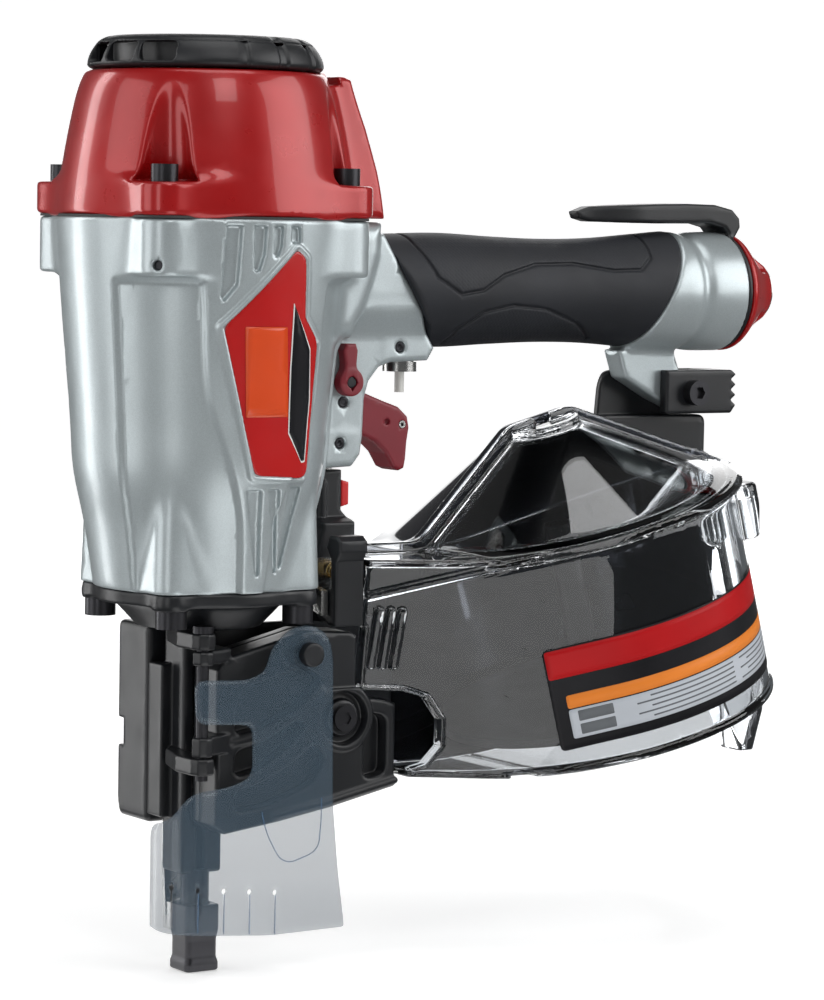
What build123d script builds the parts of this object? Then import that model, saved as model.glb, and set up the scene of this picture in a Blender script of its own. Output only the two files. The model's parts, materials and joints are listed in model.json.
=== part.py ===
from build123d import *
import math
import os

# A pneumatic coil nailer, in millimetres.
# The origin is the middle of the contact foot's tip, on the driver's axis.
# +Z runs up the driver's axis, +X towards the air inlet, and -Y is the side that opens.

os.makedirs("parts", exist_ok=True)

# ---------------------------------------------------------------- driving dimensions

# heights along the driver's axis
nose_seam = 126.0
cap_seam = 244.0
cap_base = 244.8
cap_top = 290.5
exhaust_top = 302.0

# drive train
driver_radius = 3.2
driver_bore = 3.28
driver_tip = 116.0
cylinder_bore = 24.0
cylinder_outside = 26.0
cylinder_bottom = 146.0
cylinder_top = 258.0
piston_height = 10.0
head_valve_radius = 34.1
guide_ring_radius = 34.2

# handle
handle_z = 221.5
handle_end = 205.0
inlet_end = 226.4
grip_rear_low = (162.6, 195.0)
grip_rear_high = (191.0, 255.0)
grip_front_low = (84.6, 200.0)
grip_front_high = (57.4, 244.4)
core_radius = 15.0
air_bore = 11.5
hook_ring_radius = 17.0

# screws
cap_screw_reach = 33.2
nose_screw_reach = 23.33

# nose and feed channel
nail_bottom = 48.0
nail_top = 112.0
channel_half = 3.4
foot_bore = 4.3
hinge_x = -12.0
hinge_y = -24.0
pin_radius = 2.0
running = 0.05

# trigger group
slot_half = 6.4
cheek_half = 11.0
trigger_x = 47.4
trigger_z = 184.9
lever_x = 73.7
lever_z = 177.0
valve_x = 76.0
dial_x = 47.6
dial_z = 191.6

# magazine drum
drum_radius = 62.0
drum_wall = 2.2
drum_height = 76.0
drum_cone = 30.0
drum_hub = 12.0
drum_tilt = 15.0
drum_origin = (141.0, 0.0, 146.7)
split_gap = 0.4
roof_level = 134.0
level_end = 82.0
cover_hinge_u = 67.5
cover_hinge_v = -4.5
throat_angle = 26.7
throat_reach = 106.0
post_radius = 5.0
bolt_x = 192.5
bolt_z = 186.4

# ---------------------------------------------------------------- shared geometry

tilt_sin = math.sin(math.radians(drum_tilt))
tilt_cos = math.cos(math.radians(drum_tilt))
drum_plane = Plane(
    origin=drum_origin,
    x_dir=(tilt_cos, 0, tilt_sin),
    z_dir=(-tilt_sin, 0, tilt_cos),
)
side_plane = Plane.XZ

barrel_outline = [
    (33.5, nose_seam),
    (37.0, 147.0),
    (41.0, 163.0),
    (42.0, 180.0),
    (46.0, 222.0),
    (47.5, cap_seam),
]
barrel_inside = [
    (29.0, nose_seam),
    (29.0, 146.0),
    (33.5, 150.0),
    (36.0, 163.0),
    (38.0, 190.0),
    (38.0, 204.0),
    (41.5, 222.0),
    (41.5, cap_seam),
]


def drum_outline(inset, side):
    """Half of the drum's plan: a round rear and a straight run forward to the feed throat."""
    radius = drum_radius - inset
    turn = math.radians(throat_angle)
    touch = (-radius * math.sin(turn), side * radius * math.cos(turn))
    middle = (radius * math.sin(turn), side * radius * math.cos(turn))
    run = throat_reach - radius * math.sin(turn)
    front = (-throat_reach, side * (radius * math.cos(turn) - run * math.tan(turn)))
    with BuildSketch() as plan:
        with BuildLine():
            ThreePointArc((radius, 0), middle, touch)
            Polyline(touch, front, (-throat_reach, 0), (radius, 0))
        make_face()
    return plan.sketch


def coil(radius, wire, height, turns):
    """A compression spring that stands on Z = 0."""
    path = Helix(pitch=height / turns, height=height, radius=radius)
    section = Plane(origin=path @ 0, z_dir=path % 0) * Circle(wire / 2)
    return sweep(section, path=path, is_frenet=True)


def screw_shape(head_radius, head_height, shank_radius, shank_length, socket):
    """A socket head screw: its seat is at Z = 0, its head above and its shank below."""
    head = Pos(0, 0, head_height / 2) * Cylinder(head_radius, head_height)
    shank = Pos(0, 0, -shank_length / 2) * Cylinder(shank_radius, shank_length)
    recess = Pos(0, 0, head_height * 0.55) * extrude(RegularPolygon(socket, 6), head_height)
    return head + shank - recess


# ---------------------------------------------------------------- main housing

with BuildPart() as main_housing:
    # barrel
    with BuildSketch(side_plane):
        with BuildLine():
            Spline(*barrel_outline)
            Polyline(barrel_outline[-1], (0, cap_seam), (0, nose_seam), barrel_outline[0])
        make_face()
    revolve(axis=Axis.Z)
    # square flange that carries the cap, with a sloped underside
    with BuildSketch(Plane.XY.offset(cap_seam - 12)):
        RectangleRounded(83, 83, 9)
    extrude(amount=12)
    with BuildSketch(Plane.XY.offset(cap_seam - 12)):
        RectangleRounded(83, 83, 9)
    extrude(amount=-10, taper=35)
    # corner columns above the nose flange, fading upwards
    with BuildSketch(Plane.XY.offset(nose_seam)):
        RectangleRounded(58.6, 58.6, 6)
    extrude(amount=10)
    with BuildSketch(Plane.XY.offset(nose_seam + 10)):
        RectangleRounded(58.6, 58.6, 6)
    extrude(amount=14, taper=20)
    # saddle that joins the barrel to the neck
    with BuildSketch(side_plane):
        Polygon(
            (20, cap_seam), (57.2, cap_seam), (56.6, 233), (53.5, 223), (50, 214),
            (45.6, 206), (20, 206), align=None,
        )
    extrude(amount=21, both=True)
    # neck and trigger bracket
    with BuildSketch(side_plane):
        Polygon(
            (25, 240), (60, 240), (83, 202.4), (80.5, 198.3), (66, 197.8), (61.4, 196.3),
            (57.5, 191.7), (55.8, 186), (55.4, 174), (54.5, 167.6), (51.3, 163.7),
            (41.5, 163.3), (25, 176), align=None,
        )
    extrude(amount=15, both=True)
    # bright rear end of the handle, cut off at a slant
    with BuildSketch(Plane.YZ.offset(160)):
        with Locations((0, handle_z)):
            Circle(20.8)
    extrude(amount=handle_end - 160)
    with BuildSketch(side_plane):
        Polygon(grip_rear_low, grip_rear_high, (150, 255), (150, 195), align=None)
    extrude(amount=30, both=True, mode=Mode.SUBTRACT)
    # handle core under the grip, and the spigot that carries the hook
    with BuildSketch(Plane.YZ.offset(40)):
        with Locations((0, handle_z)):
            Circle(core_radius)
    extrude(amount=handle_end - 40)
    with BuildSketch(Plane.YZ.offset(handle_end)):
        with Locations((0, handle_z)):
            Circle(hook_ring_radius)
    extrude(amount=4.6)
    # lug for the magazine bracket
    with BuildSketch(side_plane):
        Polygon(
            (168.6, 206), (166.2, 201.2), (162, 201), (166.3, 191.5), (179.9, 184.1), (188, 180.6), (196, 180.6),
            (199, 186.4), (196, 192.6), (190, 194), (186.8, 201), (188, 206), align=None,
        )
    extrude(amount=4.6, both=True)
    # inside of the barrel
    with BuildSketch(side_plane):
        Polygon(*barrel_inside, (0, cap_seam), (0, nose_seam), align=None)
    revolve(axis=Axis.Z, mode=Mode.SUBTRACT)
    # air passage through the handle
    with BuildSketch(Plane.YZ.offset(30)):
        with Locations((0, handle_z)):
            Circle(air_bore)
    extrude(amount=200, mode=Mode.SUBTRACT)
    with BuildSketch(Plane.YZ.offset(190)):
        with Locations((0, handle_z)):
            Circle(13.5)
    extrude(amount=30, mode=Mode.SUBTRACT)
    # slot between the bracket's cheeks, for the trigger and the contact arm
    with BuildSketch(side_plane):
        Polygon((42.4, 160), (42.4, 190), (50, 200), (64, 200), (64, 160), align=None)
    extrude(amount=slot_half, both=True, mode=Mode.SUBTRACT)
    # the cheeks stand in from the neck's sides
    for side in (-1, 1):
        with BuildSketch(side_plane.offset(-side * cheek_half)):
            Polygon((42.4, 160), (42.4, 205.5), (79, 205.5), (79, 160), align=None)
        extrude(amount=-side * 8, mode=Mode.SUBTRACT)
    # pocket for the trigger valve
    with BuildSketch(Plane.XY.offset(190)):
        with Locations((valve_x, 0)):
            Circle(4.7)
    extrude(amount=24, mode=Mode.SUBTRACT)
    # pin holes and the bolt hole
    with BuildSketch(side_plane):
        with Locations((trigger_x, trigger_z)):
            Circle(1.75)
        with Locations((dial_x, dial_z)):
            Circle(2.2 + running)
        with Locations((46.3, 171.4)):
            Circle(1.4)
        with Locations((bolt_x, bolt_z)):
            Circle(3.0)
    extrude(amount=20, both=True, mode=Mode.SUBTRACT)
    # screw holes in the cap flange and in the nose flange
    with BuildSketch(Plane.XY.offset(cap_seam)):
        with GridLocations(2 * cap_screw_reach, 2 * cap_screw_reach, 2, 2):
            Circle(2.5)
    extrude(amount=-16, mode=Mode.SUBTRACT)
    with BuildSketch(Plane.XY.offset(nose_seam)):
        with GridLocations(2 * nose_screw_reach, 2 * nose_screw_reach, 2, 2):
            Circle(3.0)
    extrude(amount=12, mode=Mode.SUBTRACT)

# ---------------------------------------------------------------- side badges

badge_outline = [(7, 229), (-15.5, 209.5), (-4.5, 166), (15, 165.5), (17, 205), (11, 213), (10.2, 228)]

with BuildPart() as side_badge_left:
    with BuildSketch(side_plane):
        with BuildLine():
            Spline(*[(r + 0.8, z) for r, z in barrel_outline])
            Spline(*barrel_outline)
            Line((34.3, nose_seam), barrel_outline[0])
            Line((48.3, cap_seam), barrel_outline[-1])
        make_face()
    revolve(axis=Axis.Z)
    with BuildSketch(side_plane.offset(20)):
        with BuildLine():
            FilletPolyline(*badge_outline, radius=1.6, close=True)
        make_face()
    extrude(amount=40, mode=Mode.INTERSECT)

with BuildPart() as side_badge_right:
    add(mirror(side_badge_left.part, about=Plane.XZ))

# ---------------------------------------------------------------- cap group

with BuildPart() as cap_gasket:
    with BuildSketch(Plane.XY.offset(cap_seam)):
        RectangleRounded(82, 82, 9)
        Circle(46.8)
        Circle(41.5, mode=Mode.SUBTRACT)
        with GridLocations(2 * cap_screw_reach, 2 * cap_screw_reach, 2, 2):
            Circle(2.7, mode=Mode.SUBTRACT)
    extrude(amount=cap_base - cap_seam)

with BuildPart() as top_cap:
    # flange and dome
    with BuildSketch(Plane.XY.offset(cap_base)):
        RectangleRounded(83.6, 83.6, 9)
    extrude(amount=10.4)
    with BuildSketch(side_plane):
        with BuildLine():
            Spline((47.6, cap_base), (46.2, 258), (43.2, 275), (39, cap_top))
            Polyline((39, cap_top), (0, cap_top), (0, cap_base), (47.6, cap_base))
        make_face()
    revolve(axis=Axis.Z)
    # rear ridge above the neck
    with BuildSketch(side_plane):
        Polygon(
            (20, cap_base), (57.2, cap_base), (54.7, 260), (51.5, 274), (45.6, cap_top),
            (20, cap_top), align=None,
        )
    extrude(amount=17, both=True)
    # screw seats that open towards the corners
    with BuildSketch(Plane.XY.offset(cap_base + 10.4)):
        with GridLocations(2 * cap_screw_reach, 2 * cap_screw_reach, 2, 2):
            Circle(7.4)
    extrude(amount=26, taper=6, mode=Mode.SUBTRACT)
    with BuildSketch(Plane.XY.offset(cap_base)):
        with GridLocations(2 * cap_screw_reach, 2 * cap_screw_reach, 2, 2):
            Circle(2.7)
    extrude(amount=12, mode=Mode.SUBTRACT)
    # chamber for the cylinder's top and the head valve
    with BuildSketch(Plane.XY.offset(cap_base)):
        Circle(guide_ring_radius)
    extrude(amount=41, mode=Mode.SUBTRACT)
    with BuildSketch(Plane.XY.offset(cap_base)):
        Circle(36)
    extrude(amount=10, mode=Mode.SUBTRACT)
    # middle boss, exhaust ports and the thread for the exhaust cover's bolt
    with BuildSketch(Plane.XY.offset(272)):
        Circle(11)
    extrude(amount=16)
    with BuildSketch(Plane.XY.offset(280)):
        with PolarLocations(16, 8):
            Circle(3.6)
    extrude(amount=20, mode=Mode.SUBTRACT)
    with BuildSketch(Plane.XY.offset(276)):
        Circle(3)
    extrude(amount=20, mode=Mode.SUBTRACT)

cap_screw = screw_shape(4.25, 5.4, 2.5, 25, 2.3)
with BuildPart() as cap_screws:
    with Locations(Pos(0, 0, cap_base + 10.4)):
        with GridLocations(2 * cap_screw_reach, 2 * cap_screw_reach, 2, 2):
            add(cap_screw)

with BuildPart() as exhaust_cover:
    with BuildSketch(side_plane):
        Polygon(
            (0, cap_top + 0.4), (37.8, cap_top + 0.4), (38.2, 294), (36.4, 299), (32.8, exhaust_top),
            (0, exhaust_top), align=None,
        )
    revolve(axis=Axis.Z)
    with BuildSketch(side_plane):
        Polygon(
            (8, cap_top), (35.4, cap_top), (35.8, 294), (34, 297.6), (31, 299.2), (8, 299.2),
            align=None,
        )
    revolve(axis=Axis.Z, mode=Mode.SUBTRACT)
    # vent slots through one side of the rim
    for angle in (-212.5, -190, -167.5, -145):
        vent_plane = Plane.XY.rotated((0, 0, angle)).offset(296)
        with BuildSketch(vent_plane):
            with Locations((34, 0)):
                Rectangle(14, 9.5)
        extrude(amount=2, both=True, mode=Mode.SUBTRACT)
    # bolt seat and running bore
    with BuildSketch(Plane.XY.offset(298.4)):
        Circle(6.2)
    extrude(amount=4, mode=Mode.SUBTRACT)
    with BuildSketch(Plane.XY.offset(cap_top)):
        Circle(3 + running)
    extrude(amount=10, mode=Mode.SUBTRACT)

middle_bolt = screw_shape(5.5, 3.0, 3.0, 22, 2.6)
with BuildPart() as exhaust_bolt:
    with Locations(Pos(0, 0, 298.6)):
        add(middle_bolt)

with BuildPart() as piston_stop:
    with BuildSketch(Plane.XY.offset(259.6)):
        Circle(11)
    extrude(amount=12.4)
    chamfer(piston_stop.edges().group_by(Axis.Z)[0], 1.5)

with BuildPart() as head_valve:
    with BuildSketch(Plane.XY.offset(cylinder_top + 0.35)):
        Circle(head_valve_radius)
        Circle(14.5, mode=Mode.SUBTRACT)
    extrude(amount=10)
    with BuildSketch(Plane.XY.offset(cylinder_top + 5.35)):
        Circle(30)
        Circle(18, mode=Mode.SUBTRACT)
    extrude(amount=5, mode=Mode.SUBTRACT)

head_coil = coil(24, 2.2, 20, 3.5)
with BuildPart() as head_valve_spring:
    with Locations(Pos(0, 0, cylinder_top + 6.6)):
        add(head_coil)

# ---------------------------------------------------------------- drive train

with BuildPart() as cylinder:
    with BuildSketch(Plane.XY.offset(cylinder_bottom)):
        Circle(cylinder_outside)
        Circle(cylinder_bore, mode=Mode.SUBTRACT)
    extrude(amount=cylinder_top - cylinder_bottom)
    # return air ports near the bottom, and one row higher up
    for height, radius in ((151, 1.8), (185, 1.2)):
        for angle in range(0, 360, 45):
            with BuildSketch(Plane.YZ.rotated((0, 0, angle)).offset(cylinder_bore - 2)):
                with Locations((0, height)):
                    Circle(radius)
            extrude(amount=6, mode=Mode.SUBTRACT)

with BuildPart() as cylinder_guide_ring:
    with BuildSketch(Plane.XY.offset(192)):
        Circle(38)
        Circle(cylinder_outside, mode=Mode.SUBTRACT)
    extrude(amount=10)
    with BuildSketch(Plane.XY.offset(195)):
        Circle(38)
        Circle(36, mode=Mode.SUBTRACT)
    extrude(amount=4, mode=Mode.SUBTRACT)

with BuildPart() as cylinder_foot_ring:
    with BuildSketch(Plane.XY.offset(142)):
        Circle(29)
        Circle(25, mode=Mode.SUBTRACT)
    extrude(amount=4)

with BuildPart() as piston:
    with BuildSketch(Plane.XY.offset(cylinder_top - piston_height)):
        Circle(23.7)
    extrude(amount=piston_height)
    with BuildSketch(Plane.XY.offset(cylinder_top - 4)):
        Circle(16)
    extrude(amount=4, mode=Mode.SUBTRACT)
    with BuildSketch(Plane.XY.offset(cylinder_top - 7)):
        Circle(23.7)
        Circle(21.4, mode=Mode.SUBTRACT)
    extrude(amount=3, mode=Mode.SUBTRACT)
    with BuildSketch(Plane.XY.offset(cylinder_top - piston_height)):
        Circle(driver_radius)
    extrude(amount=piston_height, mode=Mode.SUBTRACT)

with BuildPart() as piston_seal:
    with BuildSketch(Plane.XY.offset(cylinder_top - 7)):
        Circle(cylinder_bore - 0.07)
        Circle(21.4, mode=Mode.SUBTRACT)
    extrude(amount=3)

with BuildPart() as driver_blade:
    with BuildSketch(Plane.XY.offset(driver_tip)):
        Circle(driver_radius)
    extrude(amount=cylinder_top - 4 - driver_tip)

with BuildPart() as bumper:
    with BuildSketch(Plane.XY.offset(nose_seam)):
        Circle(28.8)
        Circle(4.2, mode=Mode.SUBTRACT)
    extrude(amount=12.8)
    chamfer(bumper.edges().filter_by(GeomType.CIRCLE).group_by(Axis.Z)[-1], 1.5)

# ---------------------------------------------------------------- nose body

with BuildPart() as nose_body:
    # plate and bowl
    with BuildSketch(Plane.XY.offset(121.4)):
        RectangleRounded(58.6, 58.6, 6)
        Circle(33.4)
    extrude(amount=nose_seam - 121.4)
    with BuildSketch(side_plane):
        Polygon((0, 121.4), (28, 121.4), (20, 113), (0, 113), align=None)
    revolve(axis=Axis.Z)
    # column beside the feed channel, and the round tip that the foot slides on
    with BuildSketch(Plane.XY.offset(32)):
        with Locations((0.5, 3.3)):
            RectangleRounded(15, 13.4, 2)
    extrude(amount=82)
    with BuildSketch(Plane.XY.offset(17)):
        Circle(4.6)
    extrude(amount=15)
    # rib that carries the feeder, clear of the contact arm
    with BuildSketch(Plane.XY.offset(50)):
        with Locations((-8.9, 8.6)):
            Rectangle(4.2, 9.2)
    extrude(amount=50)
    # hinge ears for the door
    for low in (67.8, 107.8):
        with BuildSketch(Plane.XY.offset(low)):
            with BuildLine():
                Polyline((-7, -1), (-7, 5), (-16, -14), (-16, -24))
                ThreePointArc((-16, -24), (hinge_x, hinge_y - 4), (-8, -24))
                Polyline((-8, -24), (-7, -1))
            make_face()
        extrude(amount=5.4)
    # driver's bore and the throat where the nail enters
    with BuildSketch(Plane.XY.offset(10)):
        Circle(driver_bore)
    extrude(amount=120, mode=Mode.SUBTRACT)
    with BuildSketch(Plane.XY.offset(nail_bottom)):
        with Locations((4.2, -1.8)):
            Rectangle(9, 5.4)
        with Locations((0, -3)):
            Rectangle(6.4, 4)
        with Locations((4.2, 0)):
            Rectangle(9, 2 * channel_half)
    extrude(amount=nail_top - nail_bottom, mode=Mode.SUBTRACT)
    # screw holes and the pin's hole
    with BuildSketch(Plane.XY.offset(120)):
        with GridLocations(2 * nose_screw_reach, 2 * nose_screw_reach, 2, 2):
            Circle(3.1)
    extrude(amount=10, mode=Mode.SUBTRACT)
    with BuildSketch(Plane.XY.offset(60)):
        with Locations((hinge_x, hinge_y)):
            Circle(pin_radius)
    extrude(amount=60, mode=Mode.SUBTRACT)

nose_screw = screw_shape(5.0, 6.4, 3.0, 15, 2.8)
with BuildPart() as nose_screws:
    with Locations(Location((0, 0, 121.4), (180, 0, 0))):
        with GridLocations(2 * nose_screw_reach, 2 * nose_screw_reach, 2, 2):
            add(nose_screw)

# ---------------------------------------------------------------- contact foot and arm

with BuildPart() as contact_foot:
    with BuildSketch(Plane.XY):
        RectangleRounded(12.4, 12.4, 2)
    extrude(amount=22)
    chamfer(contact_foot.edges().group_by(Axis.Z)[0], 0.8)
    with BuildSketch(Plane.XY.offset(6)):
        Circle(4.95)
    extrude(amount=20, mode=Mode.SUBTRACT)
    with BuildSketch(Plane.XY):
        Circle(foot_bore)
    extrude(amount=10, mode=Mode.SUBTRACT)

arm_y = 11.6
with BuildPart() as contact_arm:
    # strip beside the nose column, and the step that joins it to the foot
    with BuildSketch(Plane.XZ.offset(-arm_y - 0.9)):
        Polygon(
            (-4.5, 12), (6.2, 12), (8, 34), (8, 90), (49, 96), (49, 128), (44, 128), (44, 104),
            (3, 99), (-5.5, 92), (-5.5, 34), align=None,
        )
    extrude(amount=1.8)
    with BuildSketch(Plane.XY.offset(12)):
        with Locations((0, 8.5)):
            Rectangle(9, 4.6)
    extrude(amount=9)
    # joggle to the middle, the blade in the guide, and the toe under the contact lever
    with BuildSketch(Plane.XY.offset(125)):
        with Locations((46.5, 5.5)):
            Rectangle(5, 14)
    extrude(amount=3)
    with BuildSketch(Plane.XZ):
        Polygon(
            (44, 125), (49, 125), (49, 164.5), (53, 164.5), (53, 171), (44.4, 171), (44.4, 168),
            align=None,
        )
    extrude(amount=1.5, both=True)

arm_coil = coil(2.0, 0.7, 10, 5)
with BuildPart() as contact_spring:
    with Locations(Pos(46.5, arm_y - 5.2, 129)):
        add(arm_coil)

with BuildPart() as arm_guide:
    with BuildSketch(Plane.XZ):
        Polygon(
            (30, 121.4), (30, 126), (38.5, 130), (41.6, 143), (41.6, 162.4), (51, 162.4), (51, 149),
            (54, 146), (54, 118), (38, 118), align=None,
        )
    extrude(amount=9, both=True)
    # the upper part is narrower
    for side in (-1, 1):
        with BuildSketch(Plane.XY.offset(146)):
            with Locations((46, side * 8)):
                Rectangle(20, 6)
        extrude(amount=30, mode=Mode.SUBTRACT)
    # running slot for the arm, open towards the feeder at the bottom
    with BuildSketch(Plane.XY.offset(110)):
        with Locations((46.7, 0)):
            Rectangle(5.9, 3.8)
    extrude(amount=60, mode=Mode.SUBTRACT)
    with BuildSketch(Plane.XY.offset(110)):
        with Locations((46.7, 5)):
            Rectangle(5.9, 10)
    extrude(amount=29.6, mode=Mode.SUBTRACT)
    # the barrel's flange and the nose plate stay clear of it
    with BuildSketch(Plane.XY.offset(110)):
        Circle(33.4)
    extrude(amount=16, mode=Mode.SUBTRACT)
    with BuildSketch(side_plane):
        with BuildLine():
            Spline(*barrel_outline)
            Polyline(barrel_outline[-1], (0, cap_seam), (0, nose_seam), barrel_outline[0])
        make_face()
    revolve(axis=Axis.Z, mode=Mode.SUBTRACT)

with BuildPart() as arm_guide_clip:
    with BuildSketch(Plane.XZ):
        Polygon((51, 150), (54, 150.6), (54, 158.4), (51, 159), align=None)
    extrude(amount=4.6, both=True)

# ---------------------------------------------------------------- feeder

with BuildPart() as feeder_housing:
    # block with the feed cylinder
    with BuildSketch(Plane.XZ.offset(-13.2)):
        Polygon(
            (-11, 47), (-2, 47), (4, 56), (30, 60), (30, 92), (16, 104), (8, 112), (-11, 112),
            align=None,
        )
    extrude(amount=-20.6)
    # far wall of the feed channel, reaching back to the drum, and the ribs that hold it
    with BuildSketch(Plane.XZ.offset(-4.4)):
        Polygon(
            (8.4, 48), (20, 51), (39, 56), (64, 61), (78, 66), (78, 112), (40, 112), (8.4, 112),
            align=None,
        )
    extrude(amount=-3.4)
    with BuildSketch(Plane.XZ.offset(-7.8)):
        Polygon((14, 58), (24, 60), (24, 90), (14, 88), align=None)
    extrude(amount=-5.4)
    # window for the feed pawl
    with BuildSketch(Plane.XZ.offset(-4)):
        Polygon((25, 66), (58, 66), (58, 88), (25, 88), align=None)
    extrude(amount=-4.2, mode=Mode.SUBTRACT)
    # feed cylinder and rod bore
    with BuildSketch(Plane.YZ.offset(-7)):
        with Locations((23.5, 76)):
            Circle(8.5)
    extrude(amount=31, mode=Mode.SUBTRACT)
    with BuildSketch(Plane.YZ.offset(20)):
        with Locations((23.5, 76)):
            Circle(3 + running)
    extrude(amount=20, mode=Mode.SUBTRACT)

with BuildPart() as feed_piston:
    with BuildSketch(Plane.YZ.offset(-5)):
        with Locations((23.5, 76)):
            Circle(8.43)
    extrude(amount=9)
    with BuildSketch(Plane.YZ.offset(4)):
        with Locations((23.5, 76)):
            Circle(3)
    extrude(amount=34)
    with BuildSketch(Plane.YZ.offset(38)):
        with Locations((21.5, 76)):
            RectangleRounded(15, 18, 2)
    extrude(amount=10)
    # fork and bore for the pawl
    with BuildSketch(Plane.XY.offset(71)):
        with Locations((43, 17)):
            Rectangle(12, 12)
    extrude(amount=10, mode=Mode.SUBTRACT)
    with BuildSketch(Plane.XY.offset(60)):
        with Locations((43, 18.5)):
            Circle(pin_radius)
    extrude(amount=30, mode=Mode.SUBTRACT)

feed_coil = coil(5.4, 1.2, 18.6, 5)
with BuildPart() as feed_spring:
    with Locations(Location((4.6, 23.5, 76), (0, 90, 0))):
        add(feed_coil)

with BuildPart() as feed_pawl:
    with BuildSketch(Plane.XY.offset(71.4)):
        with BuildLine():
            Polyline((40, 18.5), (35, 6), (33.6, 0.6), (38.4, 2.4), (41.5, 7), (46, 18.5))
            ThreePointArc((46, 18.5), (43, 21.5), (40, 18.5))
        make_face()
    extrude(amount=9.2)
    with BuildSketch(Plane.XY.offset(60)):
        with Locations((43, 18.5)):
            Circle(pin_radius + running)
    extrude(amount=30, mode=Mode.SUBTRACT)

with BuildPart() as pawl_pin:
    with BuildSketch(Plane.XY.offset(67)):
        with Locations((43, 18.5)):
            Circle(pin_radius)
    extrude(amount=18)

# ---------------------------------------------------------------- feed door

with BuildPart() as feed_door:
    # panel behind the channel, with a raised rim
    with BuildSketch(Plane.XZ.offset(4.6)):
        Polygon(
            (-4, 50), (-0.5, 47.1), (20, 49.8), (39, 53), (48.5, 55), (48.5, 110), (30, 111.5),
            (-1, 104), (-4, 100), align=None,
        )
    extrude(amount=4.6)
    with BuildSketch(Plane.XZ.offset(9.2)):
        Polygon(
            (-4, 50), (-0.5, 47.1), (20, 49.8), (39, 53), (64, 58.4), (64, 87), (48.5, 89), (48.5, 110),
            (30, 111.5), (-1, 104), (-4, 100), align=None,
        )
    extrude(amount=10.8)
    with BuildSketch(Plane.XZ.offset(12)):
        Polygon((2, 53), (16, 53.5), (16, 76), (2, 76), align=None)
        Polygon((19.5, 54), (36, 57), (36, 76), (19.5, 76), align=None)
        Polygon((2, 80), (18, 80), (18, 98), (2, 98), align=None)
        Polygon((22, 80), (35, 80), (35, 95), (22, 98), align=None)
        Polygon((51, 61), (60.5, 62), (60.5, 83.5), (51, 84.5), align=None)
    extrude(amount=10, mode=Mode.SUBTRACT)
    # the rear stretch is thin, so that it clears the drum cover as it swings
    with BuildSketch(Plane.XZ.offset(9)):
        Polygon((48.5, 50), (70, 50), (70, 95), (48.5, 95), align=None)
    extrude(amount=5.5, mode=Mode.SUBTRACT)
    # boss for the door screw
    with BuildSketch(Plane.XZ.offset(12)):
        with Locations((43.5, 82.3)):
            Circle(6)
    extrude(amount=8)
    # hinge knuckles
    for low, height in ((73.5, 6.4), (102.8, 4.6)):
        with BuildSketch(Plane.XY.offset(low)):
            with BuildLine():
                Polyline((1, -9.4), (-6, -9.4), (-15.6, -24))
                ThreePointArc((-15.6, -24), (hinge_x, hinge_y - 3.6), (-8.4, -24))
                Polyline((-8.4, -24), (1, -19.8), (1, -9.4))
            make_face()
        extrude(amount=height)
    # posts for the deflector
    with BuildSketch(Plane.XZ.offset(18)):
        with Locations((25.3, 105)):
            Circle(5)
    extrude(amount=8.2)
    with BuildSketch(Plane.XZ.offset(18)):
        with Locations((25.3, 105)):
            Circle(2)
    extrude(amount=10, mode=Mode.SUBTRACT)
    with BuildSketch(Plane.XZ.offset(10)):
        with Locations((43.5, 82.3)):
            Circle(2.5)
    extrude(amount=12, mode=Mode.SUBTRACT)
    with BuildSketch(Plane.XY.offset(60)):
        with Locations((hinge_x, hinge_y)):
            Circle(pin_radius + running)
    extrude(amount=60, mode=Mode.SUBTRACT)

with BuildPart() as door_hinge_pin:
    with BuildSketch(Plane.XY.offset(66)):
        with Locations((hinge_x, hinge_y)):
            Circle(pin_radius)
    extrude(amount=47.2)
    with BuildSketch(Plane.XY.offset(113.2)):
        with Locations((hinge_x, hinge_y)):
            Circle(3.4)
    extrude(amount=2.2)

door_cap_screw = screw_shape(4.2, 1.6, 2.5, 9.5, 2.2)
with BuildPart() as door_screw:
    with Locations(Location((43.5, -20, 82.3), (90, 0, 0))):
        add(door_cap_screw)

with BuildPart() as deflector_film:
    # a flat sheet whose front edge turns round the nose
    with BuildSketch(Plane.XY.offset(10)):
        with BuildLine():
            Line((40.4, -27.3), (-22, -27.3))
            RadiusArc((-22, -27.3), (-27.4, -21.9), 5.4)
            Polyline((-27.4, -21.9), (-27.4, -17.5), (-26.6, -17.5), (-26.6, -21.9))
            RadiusArc((-26.6, -21.9), (-22, -26.5), -4.6)
            Polyline((-22, -26.5), (40.4, -26.5), (40.4, -27.3))
        make_face()
    extrude(amount=110)
    # outline seen from the side
    with BuildSketch(Plane.XZ.offset(10)):
        Polygon(
            (-30, 20.4), (-15.3, 16.7), (40.4, 10.6), (35.3, 56.4), (34.4, 104), (32.5, 111), (26, 114.6),
            (18, 113.4), (11.4, 107), (9.7, 100), (3, 97.6), (-16.5, 98.5), (-15.6, 84.5), (5.1, 83.2),
            (5.3, 66.3), (-3.2, 63.4), (-19, 62.4), (-30, 52.3), align=None,
        )
    extrude(amount=30, mode=Mode.INTERSECT)
    with BuildSketch(Plane.XZ.offset(10)):
        with Locations((25.3, 105)):
            Circle(2)
        # five slits that let the skirt flex
        with Locations((-24, 28), (-14.5, 27), (-5, 26), (4.5, 25), (14, 24)):
            SlotCenterToCenter(24, 0.6, rotation=90)
    extrude(amount=30, mode=Mode.SUBTRACT)

with BuildPart() as deflector_knob:
    with Locations(Location((25.3, -27.3, 105), (90, 0, 0))):
        Cylinder(3.9, 4, align=(Align.CENTER, Align.CENTER, Align.MIN))
        Cylinder(2, 8, align=(Align.CENTER, Align.CENTER, Align.MAX))
    chamfer(deflector_knob.edges().group_by(Axis.Y)[0], 0.7)

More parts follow.
